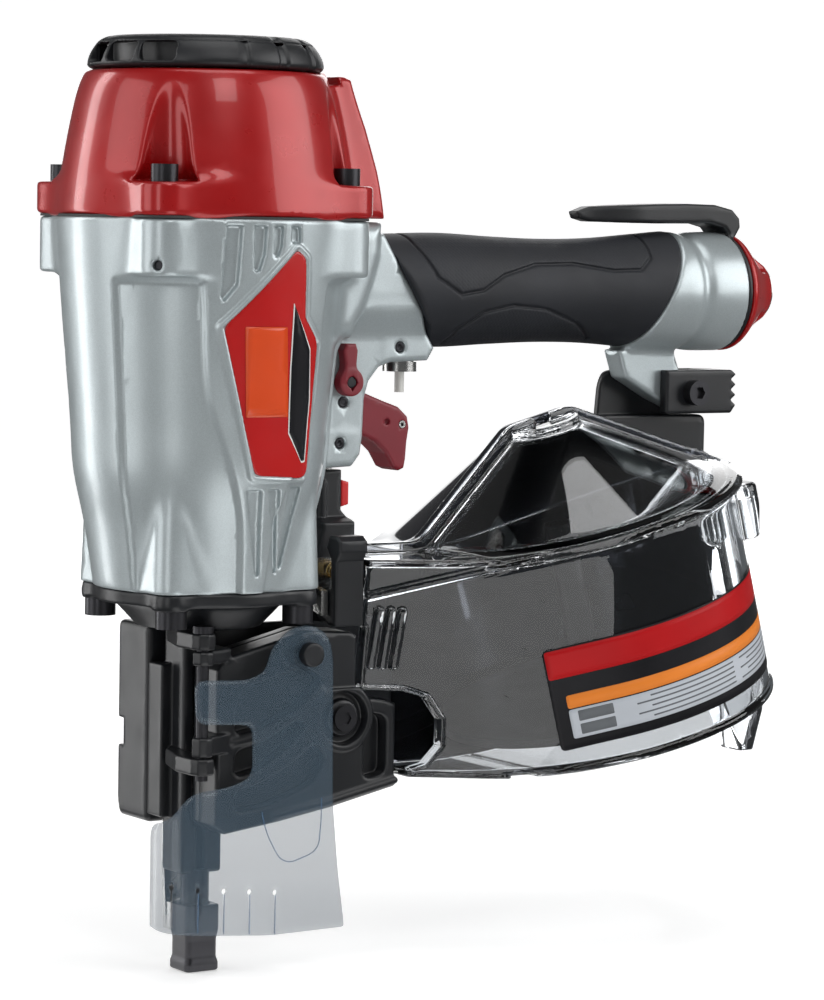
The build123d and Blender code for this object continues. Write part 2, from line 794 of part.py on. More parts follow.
# ---------------------------------------------------------------- door latch

with BuildPart() as door_latch:
    with BuildSketch(Plane.YZ.offset(38.5)):
        Polygon(
            (-17, 112.6), (-22, 112.6), (-22, 134), (-24, 137), (-24, 141), (-17, 142), (-15.5, 138),
            (-18.6, 134), (-18.6, 125), (-14, 124), (-10.6, 121), (-10.6, 117), (-14, 115), align=None,
        )
    extrude(amount=11)
    with BuildSketch(Plane.YZ.offset(30)):
        with Locations((-14, 120)):
            Circle(1.5 + running)
    extrude(amount=30, mode=Mode.SUBTRACT)

with BuildPart() as latch_pin:
    with BuildSketch(Plane.YZ.offset(35.6)):
        with Locations((-14, 120)):
            Circle(1.5)
    extrude(amount=17)

with BuildPart() as latch_bracket:
    for low in (35.6, 50):
        with BuildSketch(Plane.YZ.offset(low)):
            Polygon((-9, 126), (-18, 124), (-18, 116), (-9, 118), align=None)
        extrude(amount=2.4)
    with BuildSketch(Plane.XZ.offset(9)):
        Polygon((35.6, 118), (52.4, 118), (52.4, 134), (35.6, 134), align=None)
    extrude(amount=1.2)
    with BuildSketch(Plane.YZ.offset(30)):
        with Locations((-14, 120)):
            Circle(1.5)
    extrude(amount=30, mode=Mode.SUBTRACT)

latch_coil = coil(2.4, 0.8, 7.4, 4)
with BuildPart() as latch_spring:
    with Locations(Location((44, -10.6, 130), (90, 0, 0))):
        add(latch_coil)

# ---------------------------------------------------------------- trigger group

with BuildPart() as trigger:
    with BuildSketch(Plane.XZ):
        with BuildLine():
            Polyline(
                (47.4, 189.1), (50.6, 188.1), (58, 188.2), (66, 185.2), (73.4, 182.4), (76.4, 179.4), (76.8, 176),
                (75.8, 171), (75.4, 164), (74, 161.7), (70.6, 162.2), (66.8, 168.6), (63, 171.8),
                (56, 173.4), (52, 180.7), (47.4, 180.7),
            )
            ThreePointArc((47.4, 180.7), (43.2, 184.9), (47.4, 189.1))
        make_face()
    extrude(amount=6, both=True)
    # channel for the contact lever, open at the top and towards the arm
    with BuildSketch(Plane.XZ):
        Polygon(
            (40, 195), (79, 195), (79, 174.6), (72, 172.8), (66.5, 172.8), (62, 174), (58.6, 175),
            (58.6, 168), (40, 168), align=None,
        )
    extrude(amount=2.2, both=True, mode=Mode.SUBTRACT)
    with BuildSketch(Plane.XZ):
        with Locations((trigger_x, trigger_z)):
            Circle(1.75 + running)
        with Locations((lever_x, lever_z)):
            Circle(1.25)
    extrude(amount=10, both=True, mode=Mode.SUBTRACT)

with BuildPart() as trigger_pin:
    with BuildSketch(Plane.XZ):
        with Locations((trigger_x, trigger_z)):
            Circle(1.75)
    extrude(amount=cheek_half - 0.6, both=True)

with BuildPart() as contact_lever:
    with BuildSketch(Plane.XZ):
        Polygon(
            (75.6, 175.6), (76, 178), (74, 179.6), (70, 179.4), (58, 178.2), (54.6, 174.8),
            (51.4, 174.8), (51.4, 171.7), (55.6, 171.7), (58.6, 175.8), (70, 175.4), align=None,
        )
    extrude(amount=1.5, both=True)
    with BuildSketch(Plane.XZ):
        with Locations((lever_x, lever_z)):
            Circle(1.25 + running)
    extrude(amount=10, both=True, mode=Mode.SUBTRACT)

with BuildPart() as contact_lever_pin:
    with BuildSketch(Plane.XZ):
        with Locations((lever_x, lever_z)):
            Circle(1.25)
            Circle(0.6, mode=Mode.SUBTRACT)
    extrude(amount=6, both=True)

with BuildPart() as trigger_valve_housing:
    with BuildSketch(Plane.XY.offset(194.4)):
        with Locations((valve_x, 0)):
            Circle(5.7)
    extrude(amount=3.3)
    with BuildSketch(Plane.XY.offset(197.7)):
        with Locations((valve_x, 0)):
            Circle(4.7)
    extrude(amount=15)
    with BuildSketch(Plane.XY.offset(190)):
        with Locations((valve_x, 0)):
            Circle(1.6 + running)
    extrude(amount=14, mode=Mode.SUBTRACT)
    with BuildSketch(Plane.XY.offset(200)):
        with Locations((valve_x, 0)):
            Circle(3.2)
    extrude(amount=11, mode=Mode.SUBTRACT)

with BuildPart() as trigger_valve_stem:
    with BuildSketch(Plane.XY.offset(187.4)):
        with Locations((valve_x, 0)):
            Circle(1.6)
    extrude(amount=14)
    with BuildSketch(Plane.XY.offset(200.4)):
        with Locations((valve_x, 0)):
            Circle(2.8)
    extrude(amount=2)

valve_coil = coil(2.2, 0.5, 7.8, 5)
with BuildPart() as trigger_valve_spring:
    with Locations(Pos(valve_x, 0, 202.8)):
        add(valve_coil)

with BuildPart() as lock_dial:
    with BuildSketch(Plane.XZ.offset(cheek_half + 0.4)):
        with Locations((dial_x, dial_z)):
            Circle(4.6)
        with BuildLine():
            FilletPolyline(
                (dial_x - 3.4, dial_z), (dial_x - 3, dial_z + 12.6), (dial_x + 1.8, dial_z + 12.6),
                (dial_x + 2.4, dial_z), radius=1.0, close=True,
            )
        make_face()
    extrude(amount=4.4)
    with BuildSketch(Plane.XZ.offset(-9)):
        with Locations((dial_x, dial_z)):
            Circle(2.2)
    extrude(amount=9 + cheek_half + 0.6)

# ---------------------------------------------------------------- handle

with BuildPart() as handle_grip:
    with BuildSketch(Plane.XZ):
        with BuildLine():
            Spline((55, handle_z + 18.0), (90, handle_z + 19.2), (130, handle_z + 17.6), (195, handle_z + 20.6))
            Polyline((195, handle_z + 20.6), (195, handle_z), (55, handle_z), (55, handle_z + 18.0))
        make_face()
    revolve(axis=Axis(origin=(0, 0, handle_z), direction=(1, 0, 0)))
    with BuildSketch(Plane.XZ):
        Polygon(
            grip_front_high, grip_front_low, (84.6, 195), grip_rear_low, grip_rear_high,
            (57.4, 255), align=None,
        )
    extrude(amount=30, both=True, mode=Mode.INTERSECT)
    with BuildSketch(Plane.YZ.offset(50)):
        with Locations((0, handle_z)):
            Circle(core_radius)
    extrude(amount=150, mode=Mode.SUBTRACT)
    # the neck and the saddle reach under the grip's front edge
    with BuildSketch(Plane.XZ):
        Polygon(
            (25, 240), (60, 240), (83, 202.4), (80.5, 198.3), (25, 190), align=None,
        )
    extrude(amount=15, both=True, mode=Mode.SUBTRACT)

with BuildPart() as belt_hook:
    # collar on the spigot
    with BuildSketch(Plane.YZ.offset(handle_end + 0.3)):
        with Locations((0, handle_z)):
            Circle(21.6)
            Circle(hook_ring_radius + running, mode=Mode.SUBTRACT)
    extrude(amount=4.0)
    # blade that runs forward above the handle
    with BuildSketch(Plane.XZ):
        Polygon(
            (205.3, 240), (209.3, 240), (209.3, 243.4), (214.5, 246), (212, 250.6), (200, 252),
            (178, 251.6), (157.4, 250.9), (148, 249.4), (145.6, 247.4), (151, 244.4), (176, 244.6),
            (203, 246.6), (205.3, 245), align=None,
        )
    extrude(amount=7, both=True)
    fillet(belt_hook.edges().filter_by(Axis.Z).sort_by(Axis.X)[:2], 3)

with BuildPart() as end_cap:
    with BuildSketch(Plane.YZ.offset(handle_end + 4.6)):
        with Locations((0, handle_z)):
            Circle(20.8)
    extrude(amount=2.4)
    with BuildSketch(Plane.YZ.offset(handle_end + 7)):
        with Locations((0, handle_z)):
            Circle(20.8)
    with BuildSketch(Plane.YZ.offset(inlet_end - 1)):
        with Locations((0, handle_z)):
            Circle(11.5)
    loft()
    with BuildSketch(Plane.YZ.offset(handle_end)):
        with Locations((0, handle_z)):
            Circle(9.6)
    extrude(amount=40, mode=Mode.SUBTRACT)
    with BuildSketch(Plane.YZ.offset(handle_end + 4.6)):
        with Locations((0, handle_z)):
            with PolarLocations(14.4, 4, start_angle=45):
                Circle(1.9)
    extrude(amount=20, mode=Mode.SUBTRACT)
    with BuildSketch(Plane.YZ.offset(handle_end + 10.6)):
        with Locations((0, handle_z)):
            with PolarLocations(14.4, 4, start_angle=45):
                Circle(3.4)
    extrude(amount=20, mode=Mode.SUBTRACT)

end_screw = screw_shape(3.2, 2.6, 1.7, 6, 1.4)
with BuildPart() as end_cap_screws:
    with Locations(Location((handle_end + 10.6, 0, handle_z), (0, 90, 0))):
        with PolarLocations(14.4, 4, start_angle=45):
            add(end_screw)

with BuildPart() as air_inlet_bushing:
    with BuildSketch(Plane.YZ.offset(handle_end + 4.6)):
        with Locations((0, handle_z)):
            Circle(9.6)
    extrude(amount=inlet_end - handle_end - 4.6)
    with BuildSketch(Plane.YZ.offset(handle_end)):
        with Locations((0, handle_z)):
            Circle(7.25)
    extrude(amount=40, mode=Mode.SUBTRACT)

with BuildPart() as inlet_filter:
    with BuildSketch(Plane.YZ.offset(190)):
        with Locations((0, handle_z)):
            Circle(13.5)
            Circle(8, mode=Mode.SUBTRACT)
    extrude(amount=2)
    with BuildSketch(Plane.YZ.offset(192)):
        with Locations((0, handle_z)):
            Circle(9)
            Circle(8, mode=Mode.SUBTRACT)
    extrude(amount=17.4)

# ---------------------------------------------------------------- magazine

with BuildPart() as magazine_housing:
    with BuildSketch(drum_plane.offset(-drum_height)):
        add(drum_outline(0, 1))
    extrude(amount=drum_height)
    with Locations(drum_plane):
        Cone(drum_radius, drum_hub, drum_cone, align=(Align.CENTER, Align.CENTER, Align.MIN))
    with BuildSketch(drum_plane.offset(-drum_height + drum_wall)):
        add(drum_outline(drum_wall, 1))
        with BuildLine():
            Polyline((59, 1), (59, -8), (-throat_reach, -8), (-throat_reach, 1), (59, 1))
        make_face()
    extrude(amount=drum_height - drum_wall, mode=Mode.SUBTRACT)
    with Locations(drum_plane):
        Cone(
            drum_radius - drum_wall - 1, drum_hub - 3, drum_cone - 2,
            align=(Align.CENTER, Align.CENTER, Align.MIN), mode=Mode.SUBTRACT,
        )
    # keep the far half
    with BuildSketch(Plane.XY):
        with Locations((141, split_gap - 60)):
            Rectangle(400, 120)
    extrude(amount=260, mode=Mode.SUBTRACT)
    # round pad under the post
    with BuildSketch(drum_plane.offset(-drum_height)):
        Circle(9)
    extrude(amount=drum_wall)
    # straight front end that meets the feed channel
    with BuildSketch(side_plane):
        Polygon((0, 0), (78.6, 0), (78.6, 134), (60, 200), (0, 200), align=None)
    extrude(amount=80, both=True, mode=Mode.SUBTRACT)
    # hinge knuckle for the cover
    with BuildSketch(drum_plane.offset(-50)):
        with Locations((cover_hinge_u, cover_hinge_v)):
            Circle(4)
        Polygon((61, 0.6), (61, 6), (67, 6), (71.2, -3), (67, -4.5), (64.6, -1.5), align=None)
    extrude(amount=19.6)
    with BuildSketch(drum_plane.offset(-70)):
        with Locations((cover_hinge_u, cover_hinge_v)):
            Circle(2.2)
    extrude(amount=70, mode=Mode.SUBTRACT)

cover_room = extrude(
    drum_plane.offset(-drum_height + drum_wall) * drum_outline(drum_wall, -1), drum_height + 12
)
level_box = Pos(level_end / 2, 0, (roof_level - drum_wall) / 2) * Box(
    level_end, 200, roof_level - drum_wall
)
front_room = cover_room & level_box
with BuildPart() as magazine_cover:
    with BuildSketch(drum_plane.offset(-drum_height)):
        add(drum_outline(0, -1))
    extrude(amount=drum_height + 12)
    # the roof: the rim plane behind, level in front
    with BuildSketch(side_plane):
        Polygon(
            (level_end, 131), (level_end, roof_level), (20, roof_level), (20, 220), (260, 220),
            (260, 178.7), align=None,
        )
    extrude(amount=80, both=True, mode=Mode.SUBTRACT)
    with Locations(drum_plane):
        Cone(drum_radius, drum_hub, drum_cone, align=(Align.CENTER, Align.CENTER, Align.MIN))
    with BuildSketch(drum_plane.offset(-drum_height + drum_wall)):
        add(drum_outline(drum_wall, -1))
        with BuildLine():
            Polyline((59, -1), (59, 8), (-throat_reach - 2, 8), (-throat_reach - 2, -1), (59, -1))
        make_face()
        with BuildLine():
            Polyline(
                (-throat_reach + 1, 2), (-throat_reach + 1, -14.4), (-throat_reach - 3, -14.4),
                (-throat_reach - 3, 2), (-throat_reach + 1, 2),
            )
        make_face()
    extrude(amount=drum_height - drum_wall, mode=Mode.SUBTRACT)
    with Locations(drum_plane):
        Cone(
            drum_radius - drum_wall - 1, drum_hub - 3, drum_cone - 2,
            align=(Align.CENTER, Align.CENTER, Align.MIN), mode=Mode.SUBTRACT,
        )
    # keep the near half
    with BuildSketch(Plane.XY):
        with Locations((141, 60 - split_gap)):
            Rectangle(400, 120)
    extrude(amount=260, mode=Mode.SUBTRACT)
    # flange along the split, on the roof
    with BuildSketch(Plane.XZ.offset(split_gap)):
        with BuildLine():
            Polyline(
                (83, 131), (86, 138), (118.5, 176.5), (134, 180.5), (149, 184.5), (184, 168), (198, 169),
                (203, 163), (83, 131),
            )
        make_face()
    extrude(amount=2)
    with Locations(drum_plane):
        Cone(
            drum_radius - drum_wall - 1, drum_hub - 3, drum_cone - 2,
            align=(Align.CENTER, Align.CENTER, Align.MIN), mode=Mode.SUBTRACT,
        )
    # the front is hollow right up to its level roof, and its front edge clears the arm guide
    add(front_room, mode=Mode.SUBTRACT)
    with BuildSketch(Plane.XY.offset(80)):
        with Locations((28, -6.8)):
            Rectangle(58, 14.4)
    extrude(amount=60, mode=Mode.SUBTRACT)
    # outline of the front end seen from the side
    with BuildSketch(side_plane):
        Polygon(
            (20, 0), (20, 200), (50.5, 200), (50.5, 91), (64, 90.5), (71, 88), (75.5, 81), (76, 72),
            (72, 66), (68, 64.5), (68, 61.5), (98, 60.5), (98, 0), align=None,
        )
    extrude(amount=80, both=True, mode=Mode.SUBTRACT)
    # notch round the post's pad
    with BuildSketch(drum_plane.offset(-drum_height - 1)):
        Circle(9.4)
    extrude(amount=drum_wall + 2, mode=Mode.SUBTRACT)
    # foot under the rear of the drum
    with BuildSketch(Plane.XZ.offset(18)):
        Polygon((193, 84), (196, 78), (203.5, 62), (209, 62), (213, 76), (214, 88), align=None)
    extrude(amount=5)
    # hinge knuckles
    for low, height in ((-30, 18), (-68.4, 18)):
        with BuildSketch(drum_plane.offset(low)):
            with Locations((cover_hinge_u, cover_hinge_v)):
                Circle(4)
            Polygon((59.5, -9), (60.8, -1.2), (67, -3), (67, -8.4), align=None)
        extrude(amount=height)
    with BuildSketch(drum_plane.offset(-70)):
        with Locations((cover_hinge_u, cover_hinge_v)):
            Circle(2.2 + running)
    extrude(amount=70, mode=Mode.SUBTRACT)

with BuildPart() as magazine_hinge_pin:
    with BuildSketch(drum_plane.offset(-69)):
        with Locations((cover_hinge_u, cover_hinge_v)):
            Circle(2.2)
    extrude(amount=58)

with BuildPart() as magazine_post:
    with BuildSketch(drum_plane.offset(-drum_height + drum_wall)):
        Circle(post_radius)
    extrude(amount=66)

with BuildPart() as nail_platform:
    with BuildSketch(drum_plane.offset(-68)):
        Circle(54)
    extrude(amount=3)
    with BuildSketch(drum_plane.offset(-66)):
        Circle(10)
    extrude(amount=18)
    with BuildSketch(drum_plane.offset(-70)):
        Circle(post_radius + 0.08)
    extrude(amount=40, mode=Mode.SUBTRACT)

with BuildPart() as magazine_bracket:
    # arm that stands on the drum's far half
    with BuildSketch(Plane.XZ.offset(-0.8)):
        Polygon(
            (160, 150), (161, 173.3), (164, 194), (181, 195), (181, 179), (206, 178), (206, 160),
            (190, 150), align=None,
        )
    extrude(amount=-7)
    # clamp that holds the lug, with a toothed rear end
    with BuildSketch(side_plane):
        Polygon(
            (181, 179), (181, 194.4), (210, 194.4), (212, 192.6), (210, 190.8), (212, 189), (210, 187.2),
            (212, 185.4), (210, 183.6), (212, 181.8), (210, 179), align=None,
        )
    extrude(amount=9, both=True)
    with BuildSketch(side_plane):
        Polygon((155, 178.2), (155, 202), (201.5, 202), (201.5, 178.2), align=None)
    extrude(amount=4.7, both=True, mode=Mode.SUBTRACT)
    with BuildSketch(side_plane):
        with Locations((bolt_x, bolt_z)):
            Circle(3)
    extrude(amount=20, both=True, mode=Mode.SUBTRACT)
    # it sits on the cone and the rim
    with Locations(drum_plane):
        Cone(drum_radius, drum_hub, drum_cone, align=(Align.CENTER, Align.CENTER, Align.MIN),
             mode=Mode.SUBTRACT)
    with BuildSketch(drum_plane.offset(-drum_height)):
        Circle(drum_radius)
    extrude(amount=drum_height, mode=Mode.SUBTRACT)

clamp_bolt = screw_shape(4.4, 4.0, 3.0, 20, 2.3)
with BuildPart() as bracket_bolt:
    with Locations(Location((bolt_x, -9, bolt_z), (90, 0, 0))):
        add(clamp_bolt)

# ---------------------------------------------------------------- export

pieces = {
    "main_housing": main_housing,
    "side_badge_left": side_badge_left,
    "side_badge_right": side_badge_right,
    "cap_gasket": cap_gasket,
    "top_cap": top_cap,
    "cap_screws": cap_screws,
    "exhaust_cover": exhaust_cover,
    "exhaust_bolt": exhaust_bolt,
    "piston_stop": piston_stop,
    "head_valve": head_valve,
    "head_valve_spring": head_valve_spring,
    "cylinder": cylinder,
    "cylinder_guide_ring": cylinder_guide_ring,
    "cylinder_foot_ring": cylinder_foot_ring,
    "piston": piston,
    "piston_seal": piston_seal,
    "driver_blade": driver_blade,
    "bumper": bumper,
    "nose_body": nose_body,
    "nose_screws": nose_screws,
    "contact_foot": contact_foot,
    "contact_arm": contact_arm,
    "contact_spring": contact_spring,
    "arm_guide": arm_guide,
    "arm_guide_clip": arm_guide_clip,
    "feeder_housing": feeder_housing,
    "feed_piston": feed_piston,
    "feed_spring": feed_spring,
    "feed_pawl": feed_pawl,
    "pawl_pin": pawl_pin,
    "feed_door": feed_door,
    "door_hinge_pin": door_hinge_pin,
    "door_screw": door_screw,
    "deflector_film": deflector_film,
    "deflector_knob": deflector_knob,
    "door_latch": door_latch,
    "latch_pin": latch_pin,
    "latch_bracket": latch_bracket,
    "latch_spring": latch_spring,
    "trigger": trigger,
    "trigger_pin": trigger_pin,
    "contact_lever": contact_lever,
    "contact_lever_pin": contact_lever_pin,
    "trigger_valve_housing": trigger_valve_housing,
    "trigger_valve_stem": trigger_valve_stem,
    "trigger_valve_spring": trigger_valve_spring,
    "lock_dial": lock_dial,
    "handle_grip": handle_grip,
    "belt_hook": belt_hook,
    "end_cap": end_cap,
    "end_cap_screws": end_cap_screws,
    "air_inlet_bushing": air_inlet_bushing,
    "inlet_filter": inlet_filter,
    "magazine_housing": magazine_housing,
    "magazine_cover": magazine_cover,
    "magazine_hinge_pin": magazine_hinge_pin,
    "magazine_post": magazine_post,
    "nail_platform": nail_platform,
    "magazine_bracket": magazine_bracket,
    "bracket_bolt": bracket_bolt,
}

for label, piece in pieces.items():
    piece.part.label = label
    export_step(piece.part, f"parts/{label}.step")
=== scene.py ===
"""Looks of the coil nailer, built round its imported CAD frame.

Shapes are worked out in millimetres, in the frame's own axes, and scaled to metres once, where a mesh is
made. A cast or moulded piece is a distance field: its forms are joined with soft blends, its hollows are
cut, and a skin is drawn where the distance is nought. Thin sheets and labels are cut from an outline.
"""
import json
from math import ceil, cos, hypot, pi, radians, sin, sqrt
import bpy
import numpy as np
import openvdb
from mathutils import Matrix, Vector, geometry


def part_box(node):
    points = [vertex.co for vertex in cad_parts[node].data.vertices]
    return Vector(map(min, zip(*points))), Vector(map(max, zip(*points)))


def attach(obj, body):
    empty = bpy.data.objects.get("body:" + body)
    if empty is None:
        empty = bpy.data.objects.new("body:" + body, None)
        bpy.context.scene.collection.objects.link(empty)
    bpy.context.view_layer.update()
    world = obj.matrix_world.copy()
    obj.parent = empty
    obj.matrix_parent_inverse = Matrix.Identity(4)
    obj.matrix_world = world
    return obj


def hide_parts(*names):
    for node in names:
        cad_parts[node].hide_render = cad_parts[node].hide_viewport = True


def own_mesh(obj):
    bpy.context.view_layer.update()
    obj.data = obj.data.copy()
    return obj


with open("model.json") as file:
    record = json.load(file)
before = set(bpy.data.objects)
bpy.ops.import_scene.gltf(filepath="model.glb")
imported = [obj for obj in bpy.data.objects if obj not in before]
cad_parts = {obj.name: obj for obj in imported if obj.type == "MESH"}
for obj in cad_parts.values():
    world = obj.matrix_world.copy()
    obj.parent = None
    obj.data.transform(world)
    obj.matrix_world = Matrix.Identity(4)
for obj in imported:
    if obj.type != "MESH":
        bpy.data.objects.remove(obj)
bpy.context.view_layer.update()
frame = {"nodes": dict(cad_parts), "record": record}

METRE = 0.001
SIDES = (-1, 1)
WHITE = (1.0, 1.0, 1.0, 1.0)
SLOT_OF = {part["node"]: part["material_slot"] for part in frame["record"]["subparts"]}
BODY_OF = {node: body for body, nodes in frame["record"]["behaviour"]["bodies"].items() for node in nodes}


# ---------------------------------------------------------------- distance fields

class Space:
    """A block of space cut into cells, with sparse coordinate arrays."""

    def __init__(self, low, high, cell):
        self.low = np.array(low, float)
        self.cell = cell
        count = np.ceil((np.array(high, float) - self.low) / cell).astype(int) + 1
        lines = [(self.low[i] + cell * np.arange(count[i])).astype(np.float32) for i in range(3)]
        self.x, self.y, self.z = np.meshgrid(*lines, indexing="ij", sparse=True)
        self.shape = tuple(count)
        self.r = np.hypot(self.x, self.y)
        self.wide = np.abs(self.y)


def region(low, high, cell):
    """A space, its coordinates and the distance to either side of the middle plane."""
    space = Space(low, high, cell)
    return space, space.x, space.y, space.z, space.wide


def join(a, b, blend=0.0):
    """Both forms, with a fillet of about blend between them."""
    if blend <= 0:
        return np.minimum(a, b)
    overlap = np.maximum(blend - np.abs(a - b), 0) / blend
    return np.minimum(a, b) - overlap * overlap * (blend / 4)


def common(a, b, blend=0.0):
    return -join(-a, -b, blend)


def cut(a, b, blend=0.0):
    return -join(-a, b, blend)


def polygon(u, v, points):
    """Signed distance from a closed outline in the u, v plane."""
    points = np.array(points, np.float32)
    nearest = None
    inside = False
    for a, b in zip(points, np.roll(points, -1, axis=0)):
        edge = b - a
        from_u, from_v = u - a[0], v - a[1]
        along = np.clip((from_u * edge[0] + from_v * edge[1]) / float(edge @ edge), 0, 1)
        gap = (from_u - along * edge[0]) ** 2 + (from_v - along * edge[1]) ** 2
        nearest = gap if nearest is None else np.minimum(nearest, gap)
        if a[1] != b[1]:
            crosses = (v >= min(a[1], b[1])) & (v < max(a[1], b[1]))
            inside = inside ^ (crosses & (from_u < from_v * (edge[0] / edge[1])))
    return np.sqrt(nearest) * np.where(inside, -1, 1)


def polyline(u, v, points):
    """Distance from an open line in the u, v plane."""
    nearest = None
    for a, b in zip(points[:-1], points[1:]):
        edge = (b[0] - a[0], b[1] - a[1])
        from_u, from_v = u - a[0], v - a[1]
        along = np.clip((from_u * edge[0] + from_v * edge[1]) / (edge[0] ** 2 + edge[1] ** 2), 0, 1)
        gap = (from_u - along * edge[0]) ** 2 + (from_v - along * edge[1]) ** 2
        nearest = gap if nearest is None else np.minimum(nearest, gap)
    return np.sqrt(nearest)


def prism(flat, across, edge=1.0):
    """A flat outline's distance carried across, where across is the distance past its two faces."""
    a, b = flat + edge, across + edge
    return np.minimum(np.maximum(a, b), 0) + np.hypot(np.maximum(a, 0), np.maximum(b, 0)) - edge


def between(value, low, high):
    """Distance past the two ends of a range."""
    return np.abs(value - (low + high) / 2) - (high - low) / 2


def block(space, low, high, edge=1.0):
    """A box with rounded edges."""
    flat = prism(between(space.x, low[0], high[0]), between(space.z, low[2], high[2]), edge)
    return prism(flat, between(space.y, low[1], high[1]), edge)


def rounded_square(x, y, half, corner):
    past_x, past_y = np.abs(x) - half + corner, np.abs(y) - half + corner
    outside = np.hypot(np.maximum(past_x, 0), np.maximum(past_y, 0)) - corner
    return outside + np.minimum(np.maximum(past_x, past_y), 0)


def step(value, low, high):
    """0 below low, 1 above high, with a soft rise."""
    t = np.clip((value - low) / (high - low), 0, 1)
    return t * t * (3 - 2 * t)


def curve(at, points):
    """A smooth line through (position, value) pairs."""
    x, y = np.array(points, float).T
    slope = np.diff(y) / np.diff(x)
    tangent = np.concatenate([slope[:1], (slope[:-1] + slope[1:]) / 2, slope[-1:]])
    at = np.clip(at, x[0], x[-1])
    i = np.clip(np.searchsorted(x, at) - 1, 0, len(x) - 2)
    width = x[i + 1] - x[i]
    t = (at - x[i]) / width
    start = (1 + 2 * t) * (1 - t) ** 2 * y[i] + t * (1 - t) ** 2 * width * tangent[i]
    end = t * t * (3 - 2 * t) * y[i + 1] + t * t * (t - 1) * width * tangent[i + 1]
    return (start + end).astype(np.float32)


def sample(field, at):
    """The field's value between its cells."""
    base = np.clip(np.floor(at).astype(int), 0, np.array(field.shape) - 2)
    part = at - base
    total = np.zeros(len(at))
    for corner in np.ndindex(2, 2, 2):
        weight = np.prod(np.where(corner, part, 1 - part), axis=1)
        i, j, k = (base + corner).T
        total += weight * field[i, j, k]
    return total


def slope_of(field, at):
    return np.stack([sample(field, at + e) - sample(field, at - e) for e in np.eye(3) * 0.8], axis=1)


def finish_piece(name, mesh, node, paint, body, slot=None):
    """The piece made of a mesh. One that stands for a CAD node takes its body, slot and paint."""
    piece = bpy.data.objects.new(name, mesh)
    bpy.context.scene.collection.objects.link(piece)
    if node:
        body, slot = BODY_OF[node], SLOT_OF[node]
        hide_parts(node)
    mesh.materials.append(paint or slot_paint[slot])
    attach(piece, body)
    return piece


def skin(name, space, field, node=None, paint=None, body="housing", ease=0.008):
    """The mesh where the field is nought, with its normals read from the field."""
    band = 4 * space.cell
    field = np.array(np.broadcast_to(field, space.shape), np.float32)
    for axis in range(3):
        ends = [slice(None)] * 3
        for end in (0, -1):
            ends[axis] = end
            field[tuple(ends)] = np.maximum(field[tuple(ends)], 0.2 * space.cell)
    field = np.ascontiguousarray(np.clip(field, -band, band))
    grid = openvdb.FloatGrid(band)
    grid.copyFromArray(field)
    points, triangles, quads = grid.convertToPolygons(0.0, ease)
    points = points.astype(float)
    for _ in range(2):
        slope = slope_of(field, points) / 1.6
        length = np.maximum((slope ** 2).sum(1), 1e-6)
        move = (sample(field, points) / length)[:, None] * slope
        points -= np.clip(move, -0.5, 0.5)
    normals = slope_of(field, points)
    normals /= np.maximum(np.linalg.norm(normals, axis=1), 1e-9)[:, None]
    faces = [list(f) for f in quads.tolist()] + [list(f) for f in triangles.tolist()]
    first = points[np.array([f[:3] for f in faces])]
    facing = np.cross(first[:, 1] - first[:, 0], first[:, 2] - first[:, 0])
    if (facing * normals[np.array([f[0] for f in faces])]).sum() < 0:
        faces = [f[::-1] for f in faces]
    mesh = bpy.data.meshes.new(name)
    mesh.from_pydata((space.low + points * space.cell) * METRE, [], faces)
    mesh.polygons.foreach_set("use_smooth", [True] * len(mesh.polygons))
    mesh.normals_split_custom_set_from_vertices(normals)
    return finish_piece(name, mesh, node, paint, body)


# ---------------------------------------------------------------- thin sheets

def inside_outline(points, outline):
    return polygon(points[:, 0], points[:, 1], outline) < 0


def rounded(outline, radius, steps=5):
    """An outline with its corners rounded."""
    corners = [np.array(p, float) for p in outline]
    done = []
    for i, corner in enumerate(corners):
        before, after = corners[i - 1] - corner, corners[(i + 1) % len(corners)] - corner
        reach = min(radius, 0.45 * np.linalg.norm(before), 0.45 * np.linalg.norm(after))
        start = corner + before / np.linalg.norm(before) * reach
        end = corner + after / np.linalg.norm(after) * reach
        for t in np.linspace(0, 1, steps):
            done.append((1 - t) ** 2 * start + 2 * t * (1 - t) * corner + t * t * end)
    return done


def divided(outline, spacing):
    """An outline with points added along its long edges."""
    done = []
    for a, b in zip(outline, [*outline[1:], outline[0]]):
        a, b = np.array(a, float), np.array(b, float)
        count = max(1, ceil(np.linalg.norm(b - a) / spacing))
        done += [tuple(a + (b - a) * i / count) for i in range(count)]
    return done


